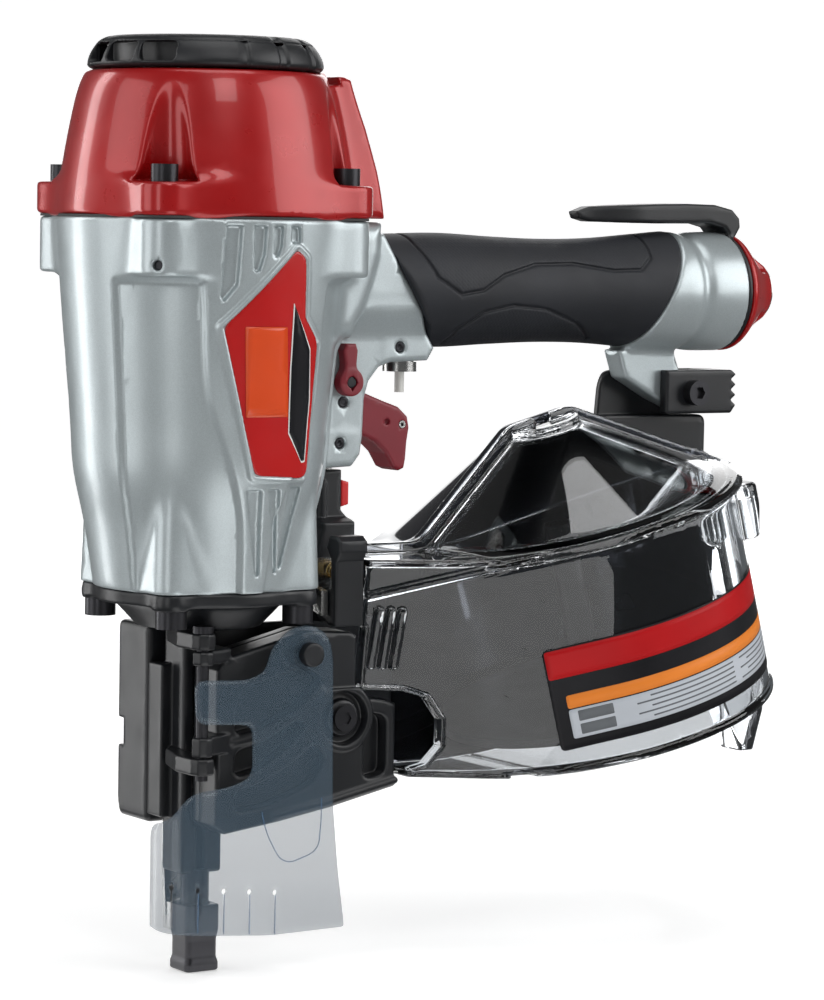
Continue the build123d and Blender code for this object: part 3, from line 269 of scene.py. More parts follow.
def sheet(name, outline, place, thickness, paint=None, body="housing", node=None, holes=(), spacing=3.0):
    """A thin sheet cut to an outline and laid where place(u, v, height) says."""
    loops = [divided(loop, spacing) for loop in (outline, *holes)]
    points, edges = [], []
    for loop in loops:
        start = len(points)
        points += [tuple(p) for p in loop]
        edges += [(start + i, start + (i + 1) % len(loop)) for i in range(len(loop))]
    outer = np.array(loops[0], float)
    u, v = np.meshgrid(np.arange(outer[:, 0].min(), outer[:, 0].max(), spacing),
        np.arange(outer[:, 1].min(), outer[:, 1].max(), spacing))
    inner = np.stack([u.ravel(), v.ravel()], axis=1)
    keep = polygon(inner[:, 0], inner[:, 1], outer) < -spacing / 3
    for hole in loops[1:]:
        keep &= polygon(inner[:, 0], inner[:, 1], hole) > spacing / 4
    points += [tuple(p) for p in inner[keep]]
    flat, _, faces, *_ = geometry.delaunay_2d_cdt([Vector(p) for p in points], edges, [], 0, 1e-5)
    flat = np.array([tuple(p) for p in flat])
    middle = np.array([flat[f].mean(0) for f in faces])
    keep = inside_outline(middle, outer)
    for hole in loops[1:]:
        keep &= ~inside_outline(middle, hole)
    faces = [list(f) for f, k in zip(faces, keep) if k]
    used = sorted({i for f in faces for i in f})
    index = {old: new for new, old in enumerate(used)}
    faces = [[index[i] for i in f] for f in faces]
    flat = flat[used]
    count = len(flat)
    top = [place(a, b, thickness) for a, b in flat]
    bottom = [place(a, b, 0.0) for a, b in flat]
    sides = {}
    for f in faces:
        for i, a in enumerate(f):
            sides[(a, f[(i + 1) % 3])] = True
    walls = [[a, b, b + count, a + count] for a, b in sides if (b, a) not in sides]
    mesh = bpy.data.meshes.new(name)
    under = [[i + count for i in reversed(f)] for f in faces]
    mesh.from_pydata(np.array(top + bottom) * METRE, [], faces + under + [w[::-1] for w in walls])
    smooth = [True] * (2 * len(faces)) + [False] * len(walls)
    mesh.polygons.foreach_set("use_smooth", smooth)
    mesh.update()
    bounds = np.array(top)
    first = faces[0]
    facing = np.cross(bounds[first[1]] - bounds[first[0]], bounds[first[2]] - bounds[first[0]])
    lift = np.array(top[first[0]]) - np.array(bottom[first[0]])
    if float(facing @ lift) < 0:
        mesh.flip_normals()
    return finish_piece(name, mesh, node, paint, body)


def wire(name, points, thick, node=None, paint=None, body="housing", slot=None):
    """A thin smooth line of round section."""
    line = bpy.data.curves.new(name, "CURVE")
    line.dimensions = "3D"
    line.bevel_depth = thick / 2 * METRE
    line.bevel_resolution = 2
    line.resolution_u = 4
    line.use_fill_caps = True
    spline = line.splines.new("BEZIER")
    spline.bezier_points.add(len(points) - 1)
    for knot, point in zip(spline.bezier_points, points):
        knot.co = Vector(point) * METRE
        knot.handle_left_type = knot.handle_right_type = "AUTO"
    drawn = bpy.data.objects.new(name + "_line", line)
    mesh = bpy.data.meshes.new_from_object(drawn)
    mesh.name = name
    bpy.data.objects.remove(drawn)
    mesh.polygons.foreach_set("use_smooth", [True] * len(mesh.polygons))
    return finish_piece(name, mesh, node, paint, body, slot)


# ---------------------------------------------------------------- materials

def material(name, colour, roughness, metallic=0.0, grain=4000.0, bump=0.05, shade=0.12, gloss_spread=0.08,
        flake=0.0, pattern="noise", **sockets):
    """A surface with fine grain, slight colour change and uneven gloss."""
    made = bpy.data.materials.new(name)
    made.use_nodes = True
    nodes, links = made.node_tree.nodes, made.node_tree.links
    shader = nodes["Principled BSDF"]
    shader.inputs["Metallic"].default_value = metallic
    for socket, value in sockets.items():
        shader.inputs[socket.replace("_", " ")].default_value = value
    where = nodes.new("ShaderNodeTexCoord")

    def noise(scale, detail=2.0):
        texture = nodes.new("ShaderNodeTexNoise")
        texture.inputs["Scale"].default_value = scale
        texture.inputs["Detail"].default_value = detail
        links.new(where.outputs["Object"], texture.inputs["Vector"])
        return texture.outputs["Fac"]

    tone = nodes.new("ShaderNodeValToRGB")
    dark, light = tone.color_ramp.elements
    dark.position, light.position = 0.3, 0.7
    dark.color = (*[c * (1 - shade) for c in colour[:3]], 1)
    light.color = (*[min(c * (1 + shade), 1) for c in colour[:3]], 1)
    if flake:
        cells = nodes.new("ShaderNodeTexVoronoi")
        cells.inputs["Scale"].default_value = flake
        links.new(where.outputs["Object"], cells.inputs["Vector"])
        links.new(cells.outputs["Color"], tone.inputs["Fac"])
    else:
        links.new(noise(45.0, 3.0), tone.inputs["Fac"])
    links.new(tone.outputs["Color"], shader.inputs["Base Color"])

    gloss = nodes.new("ShaderNodeMapRange")
    gloss.inputs["To Min"].default_value = max(roughness - gloss_spread, 0.0)
    gloss.inputs["To Max"].default_value = roughness + gloss_spread
    links.new(noise(110.0, 4.0), gloss.inputs["Value"])
    links.new(gloss.outputs["Result"], shader.inputs["Roughness"])

    if bump:
        relief = nodes.new("ShaderNodeBump")
        relief.inputs["Strength"].default_value = bump
        relief.inputs["Distance"].default_value = 0.0002
        if pattern == "brushed":
            stretch = nodes.new("ShaderNodeMapping")
            stretch.inputs["Scale"].default_value = (1.0, 1.0, 0.06)
            links.new(where.outputs["Object"], stretch.inputs["Vector"])
            texture = nodes.new("ShaderNodeTexNoise")
            texture.inputs["Scale"].default_value = grain
            links.new(stretch.outputs["Vector"], texture.inputs["Vector"])
            links.new(texture.outputs["Fac"], relief.inputs["Height"])
        else:
            links.new(noise(grain), relief.inputs["Height"])
        links.new(relief.outputs["Normal"], shader.inputs["Normal"])
    return made


silver = material("silver_paint", (0.46, 0.515, 0.53), 0.36, metallic=0.55, grain=3400, bump=0.05,
    shade=0.06, flake=5200, Coat_Weight=0.35, Coat_Roughness=0.12)
red = material("red_paint", (0.36, 0.004, 0.005), 0.30, metallic=0.2, grain=2600, bump=0.015, shade=0.08,
    Coat_Weight=0.45, Coat_Roughness=0.05)
badge_red = material("badge_red", (0.42, 0.005, 0.005), 0.24, grain=700, bump=0.02, shade=0.06,
    Coat_Weight=0.2, Coat_Roughness=0.06)
badge_orange = material("badge_orange", (0.62, 0.060, 0.008), 0.24, grain=700, bump=0.02, shade=0.05,
    Coat_Weight=0.2, Coat_Roughness=0.06)
MATT = 0.15
print_black = material("print_black", (0.012, 0.012, 0.014), 0.34, grain=700, bump=0.02, shade=0.2,
    Specular_IOR_Level=MATT)
print_red = material("print_red", (0.40, 0.006, 0.008), 0.34, grain=700, bump=0.02, shade=0.06,
    Specular_IOR_Level=MATT)
print_pale = material("print_pale", (0.46, 0.49, 0.53), 0.34, grain=700, bump=0.02, shade=0.05,
    Specular_IOR_Level=MATT)
print_white = material("print_white", (0.82, 0.82, 0.80), 0.30, grain=700, bump=0.02, shade=0.04)
print_grey = material("print_grey", (0.13, 0.14, 0.15), 0.34, grain=700, bump=0.02, shade=0.05,
    Specular_IOR_Level=MATT)
print_orange = material("print_orange", (0.72, 0.21, 0.03), 0.34, grain=700, bump=0.02, shade=0.05,
    Specular_IOR_Level=MATT)
black_plastic = material("black_plastic", (0.010, 0.011, 0.013), 0.40, grain=5200, bump=0.16, shade=0.15)
drum_black = material("drum_black", (0.060, 0.064, 0.075), 0.07, metallic=0.7, grain=900, bump=0.01,
    shade=0.15, gloss_spread=0.03)
black_cast = material("black_cast", (0.009, 0.010, 0.012), 0.36, grain=2600, bump=0.08, shade=0.2)
black_steel = material("black_steel", (0.045, 0.045, 0.050), 0.34, metallic=0.8, grain=2500, bump=0.12)
bright_steel = material("bright_steel", (0.56, 0.56, 0.55), 0.26, metallic=1.0, grain=2200, bump=0.10)
ground_steel = material("ground_steel", (0.50, 0.50, 0.50), 0.22, metallic=1.0, grain=3000, bump=0.12,
    pattern="brushed")
aluminium = material("aluminium", (0.68, 0.69, 0.70), 0.30, metallic=1.0, grain=2500, bump=0.10,
    pattern="brushed")
spring_wire = material("spring_wire", (0.42, 0.42, 0.41), 0.28, metallic=1.0, grain=2600, bump=0.08)
brass_wire = material("brass_wire", (0.66, 0.47, 0.20), 0.26, metallic=1.0, grain=2600, bump=0.08)
rubber = material("grip_rubber", (0.010, 0.0115, 0.016), 0.60, grain=4200, bump=0.22, shade=0.15)
bumper_rubber = material("bumper_rubber", (0.035, 0.035, 0.036), 0.7, grain=3000, bump=0.2)
dark_red = material("dark_red_plastic", (0.20, 0.010, 0.020), 0.40, grain=3600, bump=0.14, shade=0.1)
clip_red = material("clip_red_plastic", (0.62, 0.012, 0.014), 0.34, grain=3000, bump=0.08, shade=0.08)
clear = material("clear_plastic", (0.93, 0.95, 0.97), 0.012, grain=60, bump=0.02, shade=0.01,
    gloss_spread=0.012, Transmission_Weight=1.0, IOR=1.585, Specular_IOR_Level=0.9)
film = material("deflector_film", (0.085, 0.125, 0.165), 0.12, grain=90, bump=0.05, shade=0.05,
    gloss_spread=0.03, Alpha=0.34)
# a darker, denser tint for painted shade lines along the film's slits and crease, where their edges look
# dark
film_shade_line = material("film_shade_line", (0.09, 0.20, 0.36), 0.2, grain=500, bump=0.02, Alpha=0.6)
floor_paint = material("studio_floor", (0.80, 0.80, 0.80), 0.75, grain=300, bump=0.02, shade=0.01,
    Emission_Color=WHITE, Emission_Strength=0.42)
backdrop_paint = material("studio_backdrop", (0.80, 0.80, 0.80), 0.75, grain=300, bump=0.02, shade=0.01,
    Emission_Color=WHITE, Emission_Strength=0.85)
nylon = material("pale_nylon", (0.66, 0.66, 0.63), 0.42, grain=2600, bump=0.05)

slot_paint = {
    "silver": silver, "red": red, "black_plastic": black_plastic, "black_cast": black_cast,
    "black_steel": black_steel, "bright_steel": bright_steel, "ground_steel": ground_steel,
    "aluminium": aluminium, "rubber": rubber, "bumper_rubber": bumper_rubber, "clear": clear, "film": film,
    "badge": badge_red, "red_plastic": clip_red, "dark_red_plastic": dark_red, "black_alloy": black_cast,
    "spring_steel": spring_wire, "brass_wire": brass_wire,
}
for name, slot in SLOT_OF.items():
    node = frame["nodes"][name]
    node.data.materials.clear()
    node.data.materials.append(slot_paint[slot])
for name, paint in (("trigger_pin", black_steel), ("door_hinge_pin", black_steel),
        ("trigger_valve_stem", nylon)):
    frame["nodes"][name].data.materials[0] = paint

# ---------------------------------------------------------------- main housing

NOSE_SEAM, CAP_SEAM = 126.0, 244.0
HANDLE_Z = 221.5
PAD_RISE = 1.7
BARREL = [(126, 32.6), (147, 36.0), (163, 39.4), (180, 40.7), (222, 44.3), (244, 45.8)]
PANEL_SIDE = [(126, 84), (150, 81), (156, 79), (166, 75), (188, 65), (219, 62), (244, 60)]
BADGE = [(7, 234.5), (-16.4, 210.5), (-4.1, 164.3), (16.2, 163.1), (17.9, 205.9), (11.5, 213.4),
    (10.6, 231.9)]
DIAL = (47.6, 191.6)
CORNER_PIN_Z = 229.4
PIN_ENDS = ((47.4, 184.9), (46.3, 171.4), (69.2, 202.8))
GRIP_REAR = [(162.6, 195.0), (191.0, 255.0)]


def barrel_radius(z):
    return curve(z, BARREL)


def panels(space):
    """1 in the four recessed corner panels, 0 on the raised front, rear and sides."""
    angle = np.degrees(np.arctan2(space.wide, np.abs(space.x)))
    panel = step(angle, 21.5, 24.5) * step(curve(space.z, PANEL_SIDE) - angle, 0.0, 3.0)
    return panel * step(225.6 - space.z, 0.0, 2.2)


space, x, y, z, wide = region((-48.5, -49, 125), (211, 49, 245), 0.65)
wall = barrel_radius(z)
pads = PAD_RISE * (1 - panels(space))
barrel = space.r - wall - pads
housing = common(barrel, between(z, NOSE_SEAM, CAP_SEAM), 0.8)
collar = prism(rounded_square(x, y, 41, 9), between(z, 226.0, CAP_SEAM), 1.4)
housing = join(housing, collar, 2.4)
columns = common(rounded_square(x, y, 30.0 - 0.03 * (z - NOSE_SEAM), 7), between(z, NOSE_SEAM, 172), 0.8)
housing = join(housing, columns, 1.6)
saddle_side = [(20, 244), (57.2, 244), (56.6, 233), (53.5, 223), (50, 214), (45.6, 206), (20, 206)]
housing = join(housing, common(prism(polygon(x, z, saddle_side), wide - 21, 6.0), z - CAP_SEAM, 0.8), 6.0)
neck_side = [(25, 240), (60, 240), (83, 202.4), (80.5, 198.3), (66, 197.8), (61.4, 196.3), (57.5, 191.7),
    (55.8, 186), (55.4, 174), (54.5, 167.6), (51.3, 163.7), (41.5, 163.3), (25, 176)]
neck_half = 11.0 + 4.2 * step(z, 206, 216)
housing = join(housing, prism(polygon(x, z, neck_side), wide - neck_half, 1.6), 2.5)
around = np.hypot(y, z - HANDLE_Z)
core = common(around - 15, between(x, 40, 205), 0.5)
handle_line = [(150, 19.6), (168, 19.9), (178, 20.3), (187, 20.5), (190, 19.5), (193, 20.4), (199, 20.8),
    (205, 20.8)]
rear_barrel = around - curve(x, handle_line)
(low_x, low_z), (high_x, high_z) = GRIP_REAR
GRIP_SLANT = hypot(high_x - low_x, high_z - low_z)
slant = ((high_z - low_z) * (x - low_x) - (high_x - low_x) * (z - low_z)) / GRIP_SLANT
rear_barrel = common(common(rear_barrel, x - 205, 0.8), -slant, 1.2)
housing = join(housing, join(rear_barrel, core, 0.1), 0.5)
housing = join(housing, common(around - 16.9, between(x, 200, 209.4)), 0.0)
rear_rim = common(np.abs(around - 19.4) - 1.4, between(x, 203, 207.4), 0.4)
housing = join(housing, rear_rim, 0.2)
lug_side = [(168.6, 207), (166.6, 201.2), (163, 201), (166.3, 191.5), (179.9, 184.1), (188, 180.6),
    (196, 180.6), (199, 186.4), (196, 192.6), (190, 194), (187.2, 201), (188, 207)]
housing = join(housing, prism(polygon(x, z, lug_side), wide - 4.6, 1.2), 2.5)

badge_flat = polygon(x, z, BADGE)
rim = prism(np.abs(badge_flat - 1.3) - 0.9, np.abs(barrel - 0.2) - 0.9, 0.5)
rim = common(rim, 20 - wide)
housing = join(housing, rim, 0.7)


def sunk(housing, outline, depth, soft=0.5):
    """A shallow recess in the barrel's two sides."""
    pocket = prism(polygon(x, z, outline) + 0.2, -barrel - depth, 0.4)
    return cut(housing, common(pocket, 18 - wide), soft)


for outline in (
    [(-16.9, 242.2), (-11.8, 242.2), (-12.4, 223.7), (-16.6, 218.1), (-17.8, 219.6)],
    [(-8.5, 242.2), (-3.8, 242.2), (-4.1, 233.1), (-5.8, 227.6), (-8.0, 227.6)],
    [(-1.6, 242.2), (2.0, 242.2), (1.9, 235.9), (0.6, 232.2), (-1.3, 232.2)],
    [(4.7, 242.2), (8.6, 242.2), (8.8, 236.6), (5.0, 236.6)],
):
    housing = sunk(housing, outline, 1.9)
for outline in (
    [(-6.2, 159.6), (-0.6, 159.5), (2.0, 131.5), (0.2, 131.5)],
    [(1.7, 159.7), (6.3, 159.6), (9.9, 132.0), (8.2, 132.0)],
    [(11.4, 160.0), (17.0, 159.7), (11.7, 133.5), (9.9, 133.5)],
):
    housing = sunk(housing, outline, 1.8)

slot_side = [(42.4, 160), (42.4, 190), (50, 200), (64, 200), (64, 160)]
housing = cut(housing, prism(polygon(x, z, slot_side), wide - 6.4, 0.2), 0.4)
dial_room = common(between(x, 42.6, 62), between(z, 176, 206))
housing = cut(housing, common(dial_room, 11.15 - wide), 0.6)
housing = cut(housing, common(np.hypot(x - 76, y) - 5.6, z - 197.9), 0.3)
for pin_x, pin_z in PIN_ENDS:
    housing = cut(housing, common(np.hypot(x - pin_x, z - pin_z) - 1.9, 9.0 - wide), 0.3)
corner_out = (wide - x) / sqrt(2)
corner_side = (wide + x) / sqrt(2)
housing = cut(housing, common(np.hypot(corner_side, z - CORNER_PIN_Z) - 1.6, 50.5 - corner_out), 0.3)
skin("housing_casting", space, housing, "main_housing")
del housing, core, rear_barrel, collar, columns, rim, pads

space, x, y, z, wide = region((44, -12, 169), (72, 12, 206), 0.35)
plugs = None
for pin_x, pin_z in PIN_ENDS:
    plug = common(np.hypot(x - pin_x, z - pin_z) - 1.75, np.abs(wide - 9.9) - 0.7, 0.2)
    plug = cut(plug, common(np.hypot(x - pin_x, z - pin_z) - 0.8, 10.0 - wide), 0.2)
    plugs = plug if plugs is None else join(plugs, plug)
skin("bracket_pin_ends", space, plugs, paint=black_steel)
space, x, y, z, wide = region((-39, -39, 227), (-32, 39, 232), 0.25)
screw_end = common(np.hypot((wide + x) / sqrt(2), z - CORNER_PIN_Z) - 1.5,
    np.abs((wide - x) / sqrt(2) - 51.2) - 0.8, 0.2)
skin("corner_screw_ends", space, screw_end, paint=black_steel)

# badges: a red plate, an orange field and a black sliver with a white edge
space, x, y, z, wide = region((-18, -48.5, 161), (20, 48.5, 236), 0.35)
plate = prism(polygon(x, z, rounded(BADGE, 3.0)) - 0.5,
    np.abs(space.r - barrel_radius(z) - PAD_RISE + 0.4) - 0.9, 0.4)
for side, name in ((-1, "left"), (1, "right")):
    half = common(plate, 20 - side * y)
    skin(f"badge_plate_{name}", space, half, f"side_badge_{name}", ease=0.02)


def on_barrel(side, lift):
    def place(u, v, height):
        radius = float(barrel_radius(v)) + PAD_RISE + 0.56 + lift + height
        return (u, side * sqrt(radius ** 2 - u ** 2), v)
    return place


field = [(-10.2, 210.7), (4.5, 210.7), (6.9, 182.4), (-8.3, 182.4)]
sliver = [(7.0, 217.4), (14.4, 203.4), (15.6, 187.5), (14.8, 168.4), (13.4, 168.2), (7.7, 177.4),
    (7.0, 197)]
for side, name in ((-1, "left"), (1, "right")):
    sheet(f"badge_field_{name}", rounded(field, 0.4), on_barrel(side, 0.03), 0.10, badge_orange)
    middle = np.mean(sliver, axis=0)
    wider = [tuple(middle + (np.array(p) - middle) * (1.11, 1.028)) for p in sliver]
    sheet(f"badge_edge_{name}", rounded(wider, 0.3), on_barrel(side, 0.03), 0.08, print_white)
    sheet(f"badge_sliver_{name}", rounded(sliver, 0.3), on_barrel(side, 0.12), 0.06, print_black)

# ---------------------------------------------------------------- cap and exhaust cover

CAP_LOW, CAP_HIGH = (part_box("top_cap")[i].z / METRE for i in (0, 1))
SCREW_REACH, FLANGE_TOP = 33.2, 255.4
space, x, y, z, wide = region((-50, -50, 244), (60, 50, 291.2), 0.5)
dome_line = [(CAP_LOW, 47.0), (250, 46.7), (258, 45.8), (275, 42.9), (286, 40.2), (CAP_HIGH, 38.2)]
cap = common(space.r - curve(z, dome_line), between(z, CAP_LOW, CAP_HIGH), 1.6)
flange = prism(rounded_square(x, y, 41.8, 9), between(z, CAP_LOW, FLANGE_TOP), 1.6)
cap = join(cap, flange, 5.0)
ridge_side = [(20, CAP_LOW), (57.2, CAP_LOW), (56.4, 250), (54.7, 260), (51.5, 274), (46.6, 289.6),
    (44, CAP_HIGH), (20, CAP_HIGH)]
ridge_half = 20 - 5 * step(z, 250, 290)
cap = join(cap, prism(polygon(x, z, ridge_side), wide - ridge_half, 2.4), 5.0)
cap = cut(cap, common(between(z, 287.6, 293), common(between(x, 36, 41.4), wide - 30)), 0.8)
scoop = np.hypot(np.abs(x) - SCREW_REACH, wide - SCREW_REACH)
scoop = scoop - (8.3 - 0.075 * np.maximum(z - FLANGE_TOP, 0) + 2.4 * np.exp(-np.maximum(z - FLANGE_TOP,
    0) / 2.5))
cap = cut(cap, common(scoop * 0.97, 255.5 - z, 0.6), 1.3)
skin("cap_casting", space, cap, "top_cap", ease=0.006)

space, x, y, z, wide = region((-39, -39, 290), (39, 39, 303), 0.4)
angle = np.degrees(np.arctan2(y, x))
facet = 0.8 * step(np.abs(np.mod(angle + 11.25, 22.5) - 11.25), 7.5,
    9.5) * step(np.abs(np.mod(angle + 190, 360) - 25), 60, 70)
cover_line = [(290.5, 37.4), (293, 37.9), (296, 37.0), (299, 35.0), (302, 31.8)]
cover = common(space.r - curve(z, cover_line) + facet, between(z, 290.9, 301.4), 2.2)
cover = cut(cover, common(space.r - 24, 300.6 - z), 0.6)
for vent in (-211.5, -189, -166.5, -144):
    turn = radians(vent)
    out, aside = x * cos(turn) + y * sin(turn), -x * sin(turn) + y * cos(turn)
    window = common(prism(np.abs(aside) - 6.2, np.abs(z - 295.8) - 3.0, 1.4), 27 - out)
    cover = cut(cover, window, 0.4)
cover = cut(cover, common(space.r - 34.5, between(z, 289, 299.2)), 0.3)
cover = join(cover, common(space.r - 30.0, between(z, 291.2, 301)), 0.3)
cover = cut(cover, common(space.r - 6.2, 298.4 - z), 0.3)
skin("exhaust_shell", space, cover, "exhaust_cover")

# ---------------------------------------------------------------- handle grip, hook and end cap

space, x, y, z, wide = region((54, -22, 196), (194, 22, 246), 0.45)
around = np.hypot(y, z - HANDLE_Z)
grip_line = [(50, 17.6), (70, 18.6), (90, 19.1), (110, 18.2), (130, 17.6), (150, 18.0), (172, 19.8),
    (184, 20.8), (195, 20.9)]
grip_skin = around - curve(x, grip_line)
ends = [(57.4, 243.4), (61.0, 236.5), (80.6, 204.6), (84.6, 201.4), (90, 195), *GRIP_REAR, (150, 262),
    (70, 262)]
ends_flat = polygon(x, z, ends)
grip = common(grip_skin, ends_flat, 1.6)
swirl = [(73, 243), (74, 236), (79, 226), (88, 220.4), (97, 221.8), (106, 226.8), (120, 230.4),
    (136, 230.8), (152, 228.6), (163, 229), (168, 233), (169.5, 240)]
lower = [(88, 204.5), (90, 209), (98, 214.4), (110, 216.8), (124, 215.6), (138, 211), (148, 205.5)]
for line in (swirl, lower):
    channel = common(polyline(x, z, line) - 0.45, -grip_skin - 0.8)
    grip = cut(grip, channel, 0.5)
pads = join(polygon(x, z, swirl + [(150, 246), (75, 246)]), polygon(x, z, lower + [(140, 202), (90, 202)]))
ribs = 0.22 * np.sin(x * (2 * pi / 1.5)) * np.sin(z * (2 * pi / 1.5))
grip = grip - np.maximum(ribs, 0) * step(-pads, 0.8, 1.2) * step(wide, 4, 8)
grip = cut(grip, common(around - 15.2, between(x, 0, 400)), 0)
neck_room = prism(polygon(x, z, [(25, 240), (60, 240), (83, 202.4), (80.5, 198.3), (25, 190)]) - 0.1,
    wide - 15.3, 1.2)
grip = cut(grip, neck_room, 0)
skin("grip_sleeve", space, grip, "handle_grip", ease=0.004)

space, x, y, z, wide = region((144, -23, 198), (216, 23, 254), 0.45)
collar = prism(np.abs(np.hypot(y, z - HANDLE_Z) - 18.75) - 1.6, between(x, 207.7, 209.3), 0.3)
blade_side = [(207.7, 238), (209.3, 238), (211.4, 241.2), (213.2, 244.0), (212.8, 247.2), (209.6, 250.2),
    (202, 251.8), (190, 252), (178, 251.7), (162, 251.0), (151, 250.4), (145.6, 248.6), (146.6, 246.2),
    (151, 245.2), (176, 244.9), (200, 245.2), (206, 243.8), (207.7, 242)]
blade_half = 3.2 + 4.4 * step(x, 146, 172)
blade = prism(polygon(x, z, blade_side), wide - blade_half, 1.2)
hook = join(collar, blade, 1.5)
skin("hook_body", space, hook, "belt_hook")

space, x, y, z, wide = region((209, -22, 199), (231, 22, 244), 0.45)
around = np.hypot(y, z - HANDLE_Z)
dome = [(209.6, 20.8), (211.2, 20.5), (213, 19.2), (217, 16.0), (221, 13.0), (225.4, 10.6)]
end = common(around - curve(x, dome), between(x, 209.6, 225.6), 0.8)
SEAT_X, SCREW_CIRCLE = 212.4, 14.4
heads = None
for corner in range(4):
    turn = radians(45 + 90 * corner)
    head = np.hypot(y - SCREW_CIRCLE * cos(turn), z - HANDLE_Z - SCREW_CIRCLE * sin(turn))
    head = cut(prism(head - 3.0, between(x, SEAT_X - 1, SEAT_X + 2.2), 0.4),
        common(head - 1.5, SEAT_X + 0.8 - x), 0.2)
    heads = head if heads is None else join(heads, head)
    seat = np.hypot(y - SCREW_CIRCLE * cos(turn), z - HANDLE_Z - SCREW_CIRCLE * sin(turn)) - 3.6
    end = cut(end, common(seat, SEAT_X - x), 0.6)
end = cut(end, common(around - 9.6, between(x, 200, 240)), 0.3)
skin("end_dome", space, end, "end_cap")
skin("end_screw_heads", space, heads, "end_cap_screws")

# ---------------------------------------------------------------- trigger group

space, x, y, z, wide = region((42, -7, 160), (79, 7, 191), 0.28)
trigger_side = [(47.4, 189.1), (50.6, 188.1), (58, 188.0), (66, 185.0), (72.4, 182.8), (76.0, 179.6),
    (76.8, 176), (76, 171), (75.6, 165.5), (75, 162.4), (73, 161.5), (70.4, 162.6), (67.4, 167.4),
    (63, 171.3), (57.6, 173.6), (54.4, 176.6), (52, 180.7), (47.4, 180.7), (44.4, 182), (43.2, 184.9),
    (44.4, 187.8)]
trigger = prism(polygon(x, z, trigger_side), wide - 5.9, 1.3)
channel = [(40, 195), (79, 195), (79, 174.6), (72, 172.8), (66.5, 172.8), (62, 174), (58.6, 175),
    (58.6, 168), (40, 168)]
trigger = cut(trigger, common(polygon(x, z, channel), wide - 2.25), 0.3)
for hole_x, hole_z, radius, floor in ((47.4, 184.9, 1.8, 0), (73.7, 177.0, 1.3, 0),
        (67.8, 177.9, 1.0, 4.6)):
    trigger = cut(trigger, common(np.hypot(x - hole_x, z - hole_z) - radius, floor - wide), 0.3)
skin("trigger_lever", space, trigger, "trigger")

space, x, y, z, wide = region((41, -17, 185), (54, 12, 206), 0.22)
dial_x, dial_z = DIAL
turn = np.hypot(x - dial_x, z - dial_z)
knob = prism(turn - 4.6, between(y, -15.8, -11.4), 0.7)
grip_side = [(dial_x - 3.6, dial_z), (dial_x - 2.6, dial_z + 6), (dial_x - 3.4, dial_z + 10.4),
    (dial_x - 2.4, dial_z + 12.6), (dial_x + 1.4, dial_z + 12.6), (dial_x + 2.2, dial_z + 10.4),
    (dial_x + 1.8, dial_z + 6), (dial_x + 2.6, dial_z)]
knob = join(knob, prism(polygon(x, z, grip_side), between(y, -15.8, -11.4), 0.8), 0.8)
knob = join(knob, common(turn - 2.2, between(y, -12, 9)), 0)
knob = cut(knob, common(turn - 1.9, y + 15.0), 0.3)
knob = cut(knob, common(polygon(x, z, [(dial_x, dial_z - 3), (dial_x + 2.2, dial_z), (dial_x, dial_z + 2.4),
    (dial_x - 1, dial_z)]), y + 14.4), 0.2)
skin("lock_dial_knob", space, knob, "lock_dial")
inset = prism(turn - 1.85, between(y, -15.4, -14.2), 0.3)
skin("lock_dial_inset", space, inset, paint=black_plastic, body="lock_dial")

# ---------------------------------------------------------------- nose

space, x, y, z, wide = region((-34, -34, 30), (34, 34, 127), 0.5)
plate = prism(join(rounded_square(x, y, 29.3, 6.2), space.r - 33.3, 2.0), between(z, 121.4, 126), 0.9)
bowl = common(space.r - 20 - (z - 113) * 0.95, between(z, 113, 122), 1.0)
nose = join(plate, bowl, 2.0)
for ear_x in SIDES:
    for ear_y in SIDES:
        boss = prism(np.hypot(x - ear_x * 23.33, y - ear_y * 23.33) - 5.8, between(z, 120.6, 124), 0.6)
        nose = join(nose, boss, 1.2)
column = block(space, (-7, -3.4, 32), (8, 10, 114), 1.2)
nose = join(nose, column, 2.0)
nose = join(nose, block(space, (-11, 4, 50), (-6.8, 13.2, 100), 0.6), 1.0)
ear_plan = [(-7, -1), (-7, 5), (-11, 1), (-16, -14), (-16, -24), (-15, -26.8), (-12, -28), (-9, -26.8),
    (-8, -24)]
for low in (67.8, 107.8):
    nose = join(nose, prism(polygon(x, y, ear_plan), between(z, low, low + 5.4), 0.7), 0.6)
for low in range(54, 104, 10):
    nose = cut(nose, common(between(z, low, low + 5), common(-5.9 - x, between(y, -1, 8))), 0.5)
nose = cut(nose, common(np.hypot(x, y) - 3.28, z - 140), 0.2)
throat = common(between(x, -3.2, 9), between(y, -6, 3.4))
nose = cut(nose, common(throat, between(z, 48, 112)), 0.3)
skin("nose_casting", space, nose, "nose_body")

space, x, y, z, wide = region((-6.5, -6.5, 16.5), (6.5, 6.5, 34), 0.3)
tip = common(np.hypot(x, y) - 4.6, between(z, 17, 33.5), 0.4)
tip = cut(tip, common(np.hypot(x, y) - 3.28, z - 60))
skin("nose_tip", space, tip, paint=black_steel)

space, x, y, z, wide = region((-7, -7, -0.5), (7, 11.5, 23), 0.3)
half = 6.2 - 0.5 * step(z, 2.4, 5) * step(-z, -14, -10)
foot = common(rounded_square(x, y, half, 1.8), between(z, 0.2, 22), 0.9)
foot = cut(foot, common(np.hypot(x, y) - 4.95, 6 - z))
foot = cut(foot, common(np.hypot(x, y) - 4.3, z - 30), 0.3)
skin("foot_tube", space, foot, "contact_foot")

# ---------------------------------------------------------------- feed door, film and latch

space, x, y, z, wide = region((-17, -30, 46), (66, -3.8, 113), 0.4)
